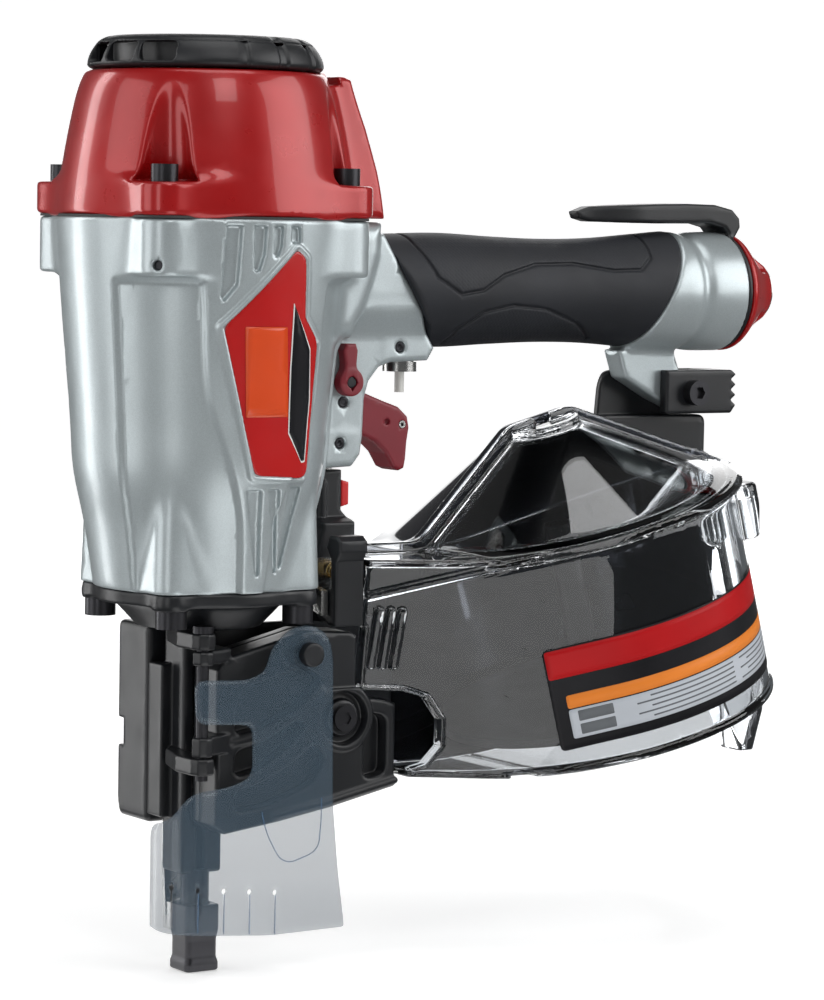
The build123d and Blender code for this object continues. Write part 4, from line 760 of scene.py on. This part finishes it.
# distances from the door screw and from the film's knob
boss, post = np.hypot(x - 43.5, z - 82.3), np.hypot(x - 25.3, z - 105)
panel = [(-4, 50), (-0.5, 47.1), (20, 49.8), (39, 53), (48.5, 55), (48.5, 109), (46, 110.4), (30, 111.5),
    (-1, 104), (-4, 100)]
door = prism(polygon(x, z, panel), between(y, -9.4, -4.6), 0.6)
body_side = [(-4, 50), (-0.5, 47.1), (20, 49.8), (39, 53), (64, 58.4), (64, 86), (60, 87.4), (50, 89),
    (48.5, 91), (48.5, 109), (46, 110.4), (30, 111.5), (-1, 104), (-4, 100)]
door = join(door, prism(polygon(x, z, body_side), between(y, -20, -9.2), 1.2), 0.2)
for hollow in (
    [(3, 54), (16, 55.4), (32, 61), (37.6, 69), (33, 74.5), (24, 68), (12, 62.4), (3, 61)],
    [(3, 65.4), (13, 67.4), (24, 74.4), (30, 80.6), (26, 82.6), (14, 76), (3, 73.6)],
    [(3, 79), (14, 81), (28, 87.6), (36, 95), (30, 99.4), (17, 97), (6, 94), (3, 88)],
    [(52, 61.6), (60.4, 62.8), (60.4, 82), (52, 83.5)],
):
    door = cut(door, common(polygon(x, z, rounded(hollow, 3)), y + 14.6), 1.6)
boss_well = common(boss - 8.6, y + 17.4)
door = cut(door, boss_well, 0.8)
ring = prism(np.abs(boss - 10) - 1.1, between(y, -21, -17), 0.6)
door = join(door, common(ring, z - 92), 0.8)
door = join(door, prism(boss - 6, between(y, -20, -12), 0.8), 0.8)
for path in ([(2, 76.6), (14, 78.6), (26, 84.6), (35, 91.6)], [(64, 60.4), (38, 55), (18, 52)]):
    door = join(door, prism(polyline(x, z, path) - 1.1, between(y, -20.8, -15), 0.9), 1.2)
door = cut(door, common(polygon(x, z, [(48.5, 50), (70, 50), (70, 95), (48.5, 95)]), -9 - y), 0.3)
knuckle = [(1, -9.4), (-6, -9.4), (-15.6, -24), (-14.4, -26.8), (-12, -27.6), (-9.6, -26.8), (-8.4, -24),
    (1, -19.8)]
for low, high in ((73.5, 79.9), (102.8, 107.4)):
    door = join(door, prism(polygon(x, y, knuckle), between(z, low, high), 0.8), 0.8)
door = join(door, common(post - 5, between(y, -26.2, -18), 0.6), 1.2)
door = cut(door, common(post - 2.0, y + 18.5))
door = cut(door, common(np.hypot(x + 12, y + 24) - 2.05, z - 140))
door = cut(door, common(boss - 2.5, y + 10.5))
skin("door_casting", space, door, "feed_door")

FILM_Y, FILM_THICK, FILM_TURN, FILM_CORNER = -27.3, 0.75, 5.0, -22.0


def on_film(u, v, height):
    """The film is flat and turns round the nose at its front edge."""
    lift = FILM_THICK - height
    if u >= FILM_CORNER:
        return (u, FILM_Y + lift, v)
    turn = (FILM_CORNER - u) / FILM_TURN
    if turn < pi / 2:
        radius = FILM_TURN - lift
        return (FILM_CORNER - radius * sin(turn), FILM_Y + FILM_TURN - radius * cos(turn), v)
    rest = FILM_CORNER - u - FILM_TURN * pi / 2
    return (FILM_CORNER - FILM_TURN + lift, FILM_Y + FILM_TURN + rest, v)


film_outline = [(-33.8, 21.6), (-33.8, 19.8), (-32, 19.5), (-15.3, 16.9), (12, 14.6), (38.6, 14.9),
    (40.3, 15.1), (40.2, 16.9), (37.6, 34), (35.3, 56.4), (34.6, 104), (32.5, 111), (26, 114.6),
    (18, 113.4), (11.4, 107), (9.7, 100), (3, 97.6), (-16.5, 98.5), (-15.6, 84.5), (5.1, 83.2), (5.3, 66.3),
    (-3.2, 63.6), (-17, 62.4), (-25, 54.4), (-33.8, 52.3)]
slits = []
for slit_x, foot_z in ((-24, 20.2), (-14.5, 18.4), (-5, 17.4), (4.5, 16.4), (14, 15.4)):
    eye = [(slit_x + 0.9 * sin(a), foot_z + 13 - 0.9 * cos(a)) for a in np.linspace(0.3, 2 * pi - 0.3, 13)]
    slits.append(eye + [(slit_x - 0.16, foot_z), (slit_x + 0.16, foot_z)])
knob_hole = [(25.3 + 2 * cos(a), 105 + 2 * sin(a)) for a in np.linspace(0, 2 * pi, 17)[:-1]]
sheet("deflector_sheet", rounded(film_outline, 4.0), on_film, FILM_THICK, node="deflector_film",
    holes=slits + [knob_hole], spacing=2.0)
# painted shade: darker tinted lines laid over the slits, where the film's cut edges look dark
for number, (slit_x, foot_z) in enumerate(((-14.5, 18.4), (-5, 17.4), (4.5, 16.4), (14, 15.4))):
    wire(f"deflector_slit_{number}", [(slit_x, FILM_Y - 0.1, foot_z + 12),
        (slit_x, FILM_Y - 0.1, foot_z - 0.6)], 0.3, paint=film_shade_line, body="feed_door", slot="film")
# painted shade: a darker tinted line along the fold, where the crease looks dark
crease = [(8.6, 55), (9.4, 51.5), (12.6, 44), (17.4, 38.4), (24, 39), (29.4, 41.8), (30.6, 47), (31, 58)]
wire("deflector_crease", [(u, FILM_Y - 0.1, v) for u, v in crease], 0.35, paint=film_shade_line, body="feed_door",
    slot="film")

space, x, y, z, wide = region((20, -32, 99), (31, -17, 111), 0.25)
post = np.hypot(x - 25.3, z - 105)
knob = prism(post - 3.9, between(y, -31.2, -27.3), 0.7)
knob = join(knob, common(post - 1.95, between(y, -28, -19.4)), 0)
skin("deflector_button", space, knob, "deflector_knob")

space, x, y, z, wide = region((37, -25, 111), (52, -9, 144), 0.28)
latch_side = [(-17, 112.6), (-22, 112.6), (-22, 134), (-24, 137), (-24, 140.4), (-21.6, 142), (-17.4, 142),
    (-15.5, 138), (-18.4, 134), (-18.6, 125), (-14, 124), (-10.6, 121), (-10.6, 117), (-14, 115)]
latch = prism(polygon(y, z, latch_side), between(x, 38.5, 49.5), 0.9)
latch = cut(latch, common(between(x, 41.5, 46.5), common(between(z, 124, 134), y + 24)), 0.8)
latch = cut(latch, common(np.hypot(y + 14, z - 120) - 1.55, x - 80))
skin("latch_lever", space, latch, "door_latch")

space, x, y, z, wide = region((29, -10, 109), (55.5, 10, 163.5), 0.38)
guide_side = [(30, 121.4), (30, 126), (38.5, 130), (41.6, 143), (41.6, 162.4), (51, 162.4), (51, 149),
    (54, 146), (54, 112.8), (41, 112.8), (38, 117)]
guide = prism(polygon(x, z, guide_side), wide - (5.0 + 4.0 * step(-z, -147, -145)), 0.9)
guide = join(guide, prism(polyline(x, z, [(44, 146), (44, 158)]) - 1.0, wide - 5.6, 0.5), 0.4)
guide = cut(guide, common(between(x, 43.75, 49.65), common(wide - 1.9, z - 200)), 0.2)
guide = cut(guide, common(between(x, 43.75, 49.65), common(between(y, 0, 10.5), z - 139.6)), 0.2)
guide = cut(guide, common(space.r - 33.6, z - 126.1))
guide = cut(guide, space.r - barrel_radius(z) - 0.2 - PAD_RISE)
skin("guide_block", space, guide, "arm_guide")

space, x, y, z, wide = region((50.5, -5.5, 149), (55, 5.5, 160), 0.25)
clip = prism(polygon(x, z, [(51.1, 150), (54, 150.8), (54, 158.2), (51.1, 159)]), wide - 4.6, 0.5)
skin("guide_clip", space, clip, "arm_guide_clip")

space, x, y, z, wide = region((-12.5, 3, 46), (79.5, 35, 113.5), 0.5)
bore = np.hypot(y - 23.5, z - 76)
block_side = [(-11, 47), (-2, 47), (4, 56), (30, 60), (30, 92), (16, 104), (8, 112), (-11, 112)]
feeder = prism(polygon(x, z, rounded(block_side, 2.5)), between(y, 13.2, 33.8), 1.8)
for rib_z in (64, 88, 98):
    feeder = cut(feeder, common(between(z, rib_z, rib_z + 4), common(-9.4 - x, between(y, 16, 31))), 0.6)
feeder = cut(feeder, common(between(z, 70.5, 79.5), common(29.6 - y, x + 4)), 0.6)
feeder = cut(feeder, common(polygon(y, z, [(30.4, 44), (36, 44), (36, 62)]), x - 60), 0.5)
far_wall = [(8.4, 48), (20, 51), (39, 56), (64, 61), (78, 66), (78, 112), (40, 112), (8.4, 112)]
feeder = join(feeder, prism(polygon(x, z, far_wall), between(y, 4.4, 7.8), 0.6), 0.2)
feeder = join(feeder, prism(polygon(x, z, [(14, 58), (24, 60), (24, 90), (14, 88)]), between(y, 7, 13.6),
    0.4), 0.6)
feeder = cut(feeder, common(polygon(x, z, [(25, 66), (58, 66), (58, 88), (25, 88)]), between(y, 3, 8.4)),
    0.5)
feeder = cut(feeder, common(bore - 8.5, between(x, -7, 24)), 0.2)
feeder = cut(feeder, common(bore - 3.05, between(x, 20, 40)), 0.2)
skin("feeder_casting", space, feeder, "feeder_housing")

# ---------------------------------------------------------------- magazine

DRUM = np.array((141.0, 0.0, 146.7))
TILT = radians(15)
DRUM_RADIUS, DRUM_HEIGHT, WALL = 61.4, 76.0, 2.2
HINGE_U, HINGE_V = 67.5, -4.5
THROAT = radians(26.7)
DRUM_SIDE = 61.9


def drum_axes(space):
    """u towards the rear in the drum's plan, and h above its rim."""
    dx, dz = space.x - DRUM[0], space.z - DRUM[2]
    return dx * cos(TILT) + dz * sin(TILT), -dx * sin(TILT) + dz * cos(TILT)


def drum_shape(space, grow=0.0):
    """The outside of the drum with its cone, as one form."""
    u, h = drum_axes(space)
    radius = DRUM_RADIUS + grow
    ahead = -u * cos(THROAT) - space.wide * sin(THROAT)
    plan = np.where(ahead > 0, -u * sin(THROAT) + space.wide * cos(THROAT), np.hypot(u, space.y)) - radius
    plan = common(plan, -106 - u)
    roof = join(h, common(space.z - 134, space.x - 88, 3), 5)
    floor = common(-DRUM_HEIGHT - h, 61 - space.z, 8)
    body = prism(plan, common(roof, floor), 1.6)
    away = np.hypot(u, space.y)
    cone = ((away - 60.5) * 30 + h * 48.5) / hypot(30, 48.5)
    cone = common(common(cone, h - 30 - grow, 1.5), -2 - h)
    return join(body, cone, 3.0), u, h, away


space, x, y, z, wide = region((77, -3, 60), (212, 63.2, 182), 0.55)
outer, u, h, away = drum_shape(space)
shell = common(outer, -(outer + WALL + 0.3))
flange = common(common(outer - 3.0, -(outer + 2)), common(between(y, 0.4, 3.4), -10 - h), 0.4)
shell = join(shell, flange, 0.6)
lip = common(common(outer - 1.0, -(outer + 2)), between(h, -76, -73), 0.6)
shell = join(shell, lip, 0.5)
shell = join(shell, common(away - 9, between(h, -76, -73.8)))
shell = common(shell, 0.4 - y, 0.3)
shell = common(shell, 78.6 - x, 0.4)
post_room = common(np.hypot(u, y) - 5.05, between(h, -73.8, 0))
shell = cut(shell, post_room)
pin_axis = np.hypot(u - HINGE_U, y - HINGE_V)
hinge_arm = prism(polygon(u, y, [(60, 0.6), (60, 6), (67, 6), (71.2, -3), (67, -4.5), (64.6, -1.5)]),
    between(h, -50, -30.4), 0.6)
hinge_arm = join(hinge_arm, common(pin_axis - 4, between(h, -50, -30.4), 0.4), 1.0)
shell = join(shell, hinge_arm, 0.8)
shell = cut(shell, pin_axis - 2.2)
for rib in range(5):
    bar_u = -34 + 17 * rib
    rib_bar = common(np.abs(u - bar_u) - 0.9, common(between(h, -68, -8), outer - 0.9), 0.5)
    shell = join(shell, common(rib_bar, -(outer + 1)), 0.8)
shell = common(shell, y - DRUM_SIDE, 0.2)
skin("drum_far_half", space, shell, "magazine_housing", drum_black, ease=0.01)
del outer, shell, flange, lip

space, x, y, z, wide = region((41, -63, 54), (217, 1, 186), 0.5)
outer, u, h, away = drum_shape(space)
shell = common(outer, -(outer + WALL))
flange = common(common(outer - 3.4, -(outer + 2)), common(between(y, -3.0, -0.4), -12 - h), 0.6)
shell = join(shell, flange, 0.8)
lip = join(between(h, -76, -73.4), between(h, -2.0, 0.4))
lip = common(common(outer - 1.0, -(outer + 2)), lip, 0.7)
shell = join(shell, lip, 0.6)
hub = prism(away - 14, between(h, 27.5, 31.2), 1.0)
shell = join(shell, hub, 1.2)
shell = cut(shell, common(away - 4, 30.2 - h), 0.4)
front_cut = [(20, 0), (20, 200), (50.5, 200), (50.5, 91), (64, 90.5), (71, 88), (75.5, 81), (76, 72),
    (72, 66), (68, 64.5), (68, 61.5), (98, 60.5), (98, 0)]
shell = common(shell, -(polygon(x, z, front_cut)), 0.8)
edge_lip = common(common(np.abs(polygon(x, z, front_cut)) - 1.2, outer - 1.0), -(outer + 3), 0.6)
edge_lip = common(edge_lip, common(-(polygon(x, z, front_cut)), z - 112), 0.2)
shell = join(shell, edge_lip, 0.6)
for rib_x in (54.0, 57.4, 60.8):
    bar = common(polyline(x, z, [(rib_x - 0.6, 99), (rib_x + 0.6, 117)]) - 1.1,
        common(outer - 1.0, -(outer + 1)), 0.5)
    shell = join(shell, bar, 0.6)
shell = cut(shell, common(block(space, (-1, -14, 80), (57, 1, 140), 0.2), z - 300), 0.4)
foot = prism(polygon(x, z, [(193, 84), (196, 78), (203.5, 62), (209, 62), (213, 76), (214, 88)]),
    between(y, -27, -15), 1.2)
shell = join(shell, foot, 1.5)
knob_axis = np.hypot(u - 55.5, y + 32)
knob = prism(knob_axis - (5.4 - 1.6 * step(-h, 12, 24)), between(h, -25, -5), 2.2)
shell = join(shell, cut(knob, common(knob_axis - 2.6, h + 10), 0.6), 1.5)
pin_axis = np.hypot(u - HINGE_U, y - HINGE_V)
for low, high in ((-30, -12), (-68.4, -50.4)):
    arm = prism(polygon(u, y, [(57.5, -12), (60.8, -1.2), (67, -3), (67, -8.4)]), between(h, low, high),
        0.8)
    arm = join(arm, common(pin_axis - 4.2, between(h, low, high), 0.8), 1.5)
    shell = join(shell, arm, 1.5)
shell = cut(shell, pin_axis - 2.25)
shell = cut(shell, common(away - 9.4, h + 73))
shell = common(common(shell, y + 0.4, 0.4), -y - DRUM_SIDE, 0.2)
skin("drum_clear_half", space, shell, "magazine_cover", ease=0.006)
del outer, shell, flange, lip


def on_drum(lift):
    """u along the wall from the rear of the drum's plan, v above the floor."""
    def place(u, v, height):
        radius = DRUM_RADIUS + 0.08 + lift + height
        turn = min(u / DRUM_RADIUS, pi / 2 + THROAT)
        ahead = u - turn * DRUM_RADIUS
        side_u = radius * cos(turn) - ahead * sin(turn)
        side_v = -radius * sin(turn) - ahead * cos(turn)
        h = v - DRUM_HEIGHT
        return (DRUM[0] + side_u * cos(TILT) - h * sin(TILT), side_v,
            DRUM[2] + side_u * sin(TILT) + h * cos(TILT))
    return place


def band(u0, u1, v0, v1):
    return [(u0, v0), (u1, v0), (u1, v1), (u0, v1)]


(label_u0, label_u1), (label_v0, label_v1) = (27.0, 146.5), (9.0, 44.0)
sheet("drum_label", rounded(band(label_u0, label_u1, label_v0, label_v1), 2.0), on_drum(0.0), 0.12,
    print_black, "magazine_cover", spacing=2.0)
for name, u0, u1, v0, v1, paint in (
    ("red", label_u0 + 0.6, label_u1 - 0.6, 33.6, label_v1 - 0.6, print_red),
    ("orange", label_u0 + 1.2, label_u1 - 5.0, 22.8, 27.4, print_orange),
    ("pale", label_u0 + 1.2, label_u1 - 5.0, 12.4, 22.4, print_pale),
):
    sheet(f"drum_label_{name}", rounded(band(u0, u1, v0, v1), 0.9), on_drum(0.10), 0.06, paint,
        "magazine_cover", spacing=2.0)
rule = 0
for row in range(5):
    v = 13.6 + 1.75 * row
    for start, end in ((label_u0 + 6, label_u0 + 46), (label_u0 + 50, label_u1 - 28)):
        sheet(f"drum_label_rule_{rule}", band(start, end - 5 * ((row + rule) % 2), v, v + 0.55),
            on_drum(0.16), 0.03, print_grey, "magazine_cover", spacing=2.0)
        rule += 1
for v in (13.4, 18.0):
    sheet(f"drum_label_mark_{int(v)}", rounded(band(label_u1 - 20, label_u1 - 8, v, v + 3.6), 0.4),
        on_drum(0.16), 0.03, print_grey, "magazine_cover", spacing=2.0)

space, x, y, z, wide = region((158, -10.5, 148), (214, 10.5, 197), 0.45)
arm_side = [(160, 150), (161, 173.3), (162.4, 188.9), (164.6, 193.6), (172, 194.4), (181, 194.6),
    (181, 179), (206, 178), (206, 160), (190, 150)]
bracket = prism(polygon(x, z, rounded(arm_side, 3)), between(y, 0.8, 7.8), 1.2)
clamp_side = [(181, 179), (181, 194.2), (209.6, 194.2), (211.8, 192.6), (209.6, 190.8), (211.8, 189),
    (209.6, 187.2), (211.8, 185.4), (209.6, 183.6), (211.8, 181.8), (209.6, 179)]
bracket = join(bracket, prism(polygon(x, z, clamp_side), wide - 9, 0.8), 0.8)
lug_room = common(polygon(x, z, [(150, 178.2), (150, 204), (201.5, 204), (201.5, 178.2)]), wide - 4.9)
bracket = cut(bracket, common(lug_room, z - 250), 0.3)
bracket = cut(bracket, common(np.hypot(x - 192.5, z - 186.4) - 3.05, wide - 40))
outer, u, h, away = drum_shape(space, 0.3)
bracket = cut(bracket, outer, 0.2)
skin("bracket_body", space, bracket, "magazine_bracket")

# ---------------------------------------------------------------- springs

def spring(node, axis, thick, turns, fixed):
    """A coil of wire that fills the node's box along the given axis."""
    low, high = (np.array(corner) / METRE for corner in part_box(node))
    middle = (low + high) / 2
    first, second = [i for i in range(3) if i != axis]
    radius = ((high - low)[first] + (high - low)[second] - 2 * thick) / 4
    points = []
    for i in range(12 * turns + 1):
        turn, point = 2 * pi * i / 12, middle.copy()
        point[first] += radius * cos(turn)
        point[second] += radius * sin(turn)
        point[axis] = low[axis] + thick / 2 + (high[axis] - low[axis] - thick) * i / (12 * turns)
        points.append(point)
    piece = wire(node + "_coil", points, thick, node)
    anchor = middle.copy()
    anchor[axis] = (low, high)[fixed][axis]
    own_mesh(piece)


spring("head_valve_spring", 2, 2.2, 4, 1)
spring("contact_spring", 2, 0.7, 5, 1)
spring("feed_spring", 0, 1.2, 5, 1)
spring("trigger_valve_spring", 2, 0.5, 5, 1)
spring("latch_spring", 1, 0.8, 4, 1)

# ---------------------------------------------------------------- studio

def turned_sheet(name, profile, paint, turns=96):
    """A sheet turned about the vertical axis, for the floor and the backdrop."""
    mesh = bpy.data.meshes.new(name)
    points = [(radius * cos(2 * pi * i / turns), radius * sin(2 * pi * i / turns), height) for radius,
        height in profile for i in range(turns)]
    faces = [(k * turns + i, (k + 1) * turns + i, (k + 1) * turns + (i + 1) % turns,
        k * turns + (i + 1) % turns) for k in range(len(profile) - 1) for i in range(turns)]
    mesh.from_pydata(points, [], faces)
    mesh.polygons.foreach_set("use_smooth", [True] * len(mesh.polygons))
    mesh.materials.append(paint)
    made = bpy.data.objects.new(name, mesh)
    bpy.context.scene.collection.objects.link(made)
    return made


FLOOR_REACH = 1.3
floor = turned_sheet("studio_floor", [(0.001, 0.0), (0.4, 0.0), (FLOOR_REACH, 0.0)], floor_paint)
backdrop = turned_sheet("studio_backdrop", [(FLOOR_REACH, 0.0), (2.0, 0.0), (2.5, 0.03), (2.9, 0.16),
    (3.2, 0.42), (3.4, 0.8), (3.5, 1.3), (3.5, 2.6)], backdrop_paint)
# the floor and backdrop are kept out of the gloss, as a black tent round a product would do
backdrop.visible_glossy = False
backdrop.visible_diffuse = False
floor.visible_glossy = False


def dim_in_gloss(paint):
    """A stage surface that is dark where something glossy mirrors it, through clear plastic too."""
    nodes, links = paint.node_tree.nodes, paint.node_tree.links
    path, dark, mix = (nodes.new(f"ShaderNode{kind}") for kind in ("LightPath", "Emission", "MixShader"))
    dark.inputs["Color"].default_value = (0.5, 0.55, 0.6, 1)
    dark.inputs["Strength"].default_value = GLOSS_LEVEL
    links.new(path.outputs["Glossy Depth"], mix.inputs["Fac"])
    links.new(nodes["Principled BSDF"].outputs["BSDF"], mix.inputs[1])
    links.new(dark.outputs["Emission"], mix.inputs[2])
    links.new(mix.outputs["Shader"], nodes["Material Output"].inputs["Surface"])


GLOSS_LEVEL = 0.22
dim_in_gloss(floor_paint)
dim_in_gloss(backdrop_paint)


def gloss_card(name, outline, strength):
    """A bright card that lies on the floor and shows only in the gloss."""
    mesh = bpy.data.meshes.new(name)
    mesh.from_pydata([(x * METRE, y * METRE, 0.0005) for x, y in outline], [], [list(range(len(outline)))])
    mesh.materials.append(material(name, (0.8, 0.8, 0.8), 0.8, bump=0, Emission_Color=WHITE,
        Emission_Strength=strength))
    made = bpy.data.objects.new(name, mesh)
    bpy.context.scene.collection.objects.link(made)
    made.visible_camera = made.visible_diffuse = made.visible_transmission = made.visible_shadow = False


gloss_card("front_card", [(-20, -95), (62, -95), (62, -269), (70, -374), (110, -541), (-160, -541),
    (-101, -234), (-60, -155)], 1.0)
gloss_card("under_card", [(60 + 140 * cos(a), 40 + 110 * sin(a)) for a in np.linspace(0, 2 * pi, 33)[:-1]],
    0.9)

world = bpy.data.worlds.new("studio")
world.use_nodes = True
world.node_tree.nodes["Background"].inputs["Color"].default_value = WHITE
world.node_tree.nodes["Background"].inputs["Strength"].default_value = 0.10
bpy.context.scene.world = world
bpy.context.scene.view_settings.view_transform = "Standard"


def softbox(name, azimuth, elevation, distance, size, power):
    """An area light that faces the middle of the tool."""
    target = Vector((0.07, 0.0, 0.17))
    turn, rise = radians(azimuth), radians(elevation)
    away = Vector((cos(turn) * cos(rise), sin(turn) * cos(rise), sin(rise)))
    lamp = bpy.data.lights.new(name, "AREA")
    lamp.shape = "RECTANGLE"
    lamp.size, lamp.size_y = size
    lamp.energy = power
    holder = bpy.data.objects.new(name, lamp)
    holder.location = target + distance * away
    holder.rotation_euler = (-away).to_track_quat("-Z", "Y").to_euler()
    bpy.context.scene.collection.objects.link(holder)


softbox("right", -42, 22, 1.5, (1.2, 1.2), 13)
softbox("left", -190, 12, 1.5, (0.8, 1.5), 7)
softbox("front_left", -146, 14, 1.6, (0.36, 1.5), 4)
softbox("front_right", -103, 40, 1.7, (0.5, 0.6), 4)
softbox("back_left", 128, 10, 1.5, (0.35, 1.6), 9)
softbox("back_right", 55, 16, 1.5, (0.9, 1.4), 8)
softbox("top", -90, 80, 1.4, (0.9, 0.9), 6)

# the camera stands in front of the left side, slightly above, with a slight roll
AZIMUTH, DISTANCE, EYE_Z = radians(-30), 1.19, 0.2447
YAW, PITCH, ROLL = radians(56.70), radians(4.34), radians(-1.0)
forward = Vector((cos(YAW) * cos(PITCH), sin(YAW) * cos(PITCH), -sin(PITCH)))
level_right = forward.cross(Vector((0, 0, 1))).normalized()
level_up = level_right.cross(forward)
right = level_right * cos(ROLL) - level_up * sin(ROLL)
up = level_right * sin(ROLL) + level_up * cos(ROLL)
camera = bpy.data.cameras.new("camera")
camera.lens = 132.84
camera.sensor_width = 36
camera.clip_start = 0.05
eye = bpy.data.objects.new("camera", camera)
turned = Matrix((right, up, -forward)).transposed().to_4x4()
eye.matrix_world = Matrix.Translation((DISTANCE * sin(AZIMUTH), -DISTANCE * cos(AZIMUTH), EYE_Z)) @ turned
bpy.context.scene.collection.objects.link(eye)
bpy.context.scene.camera = eye
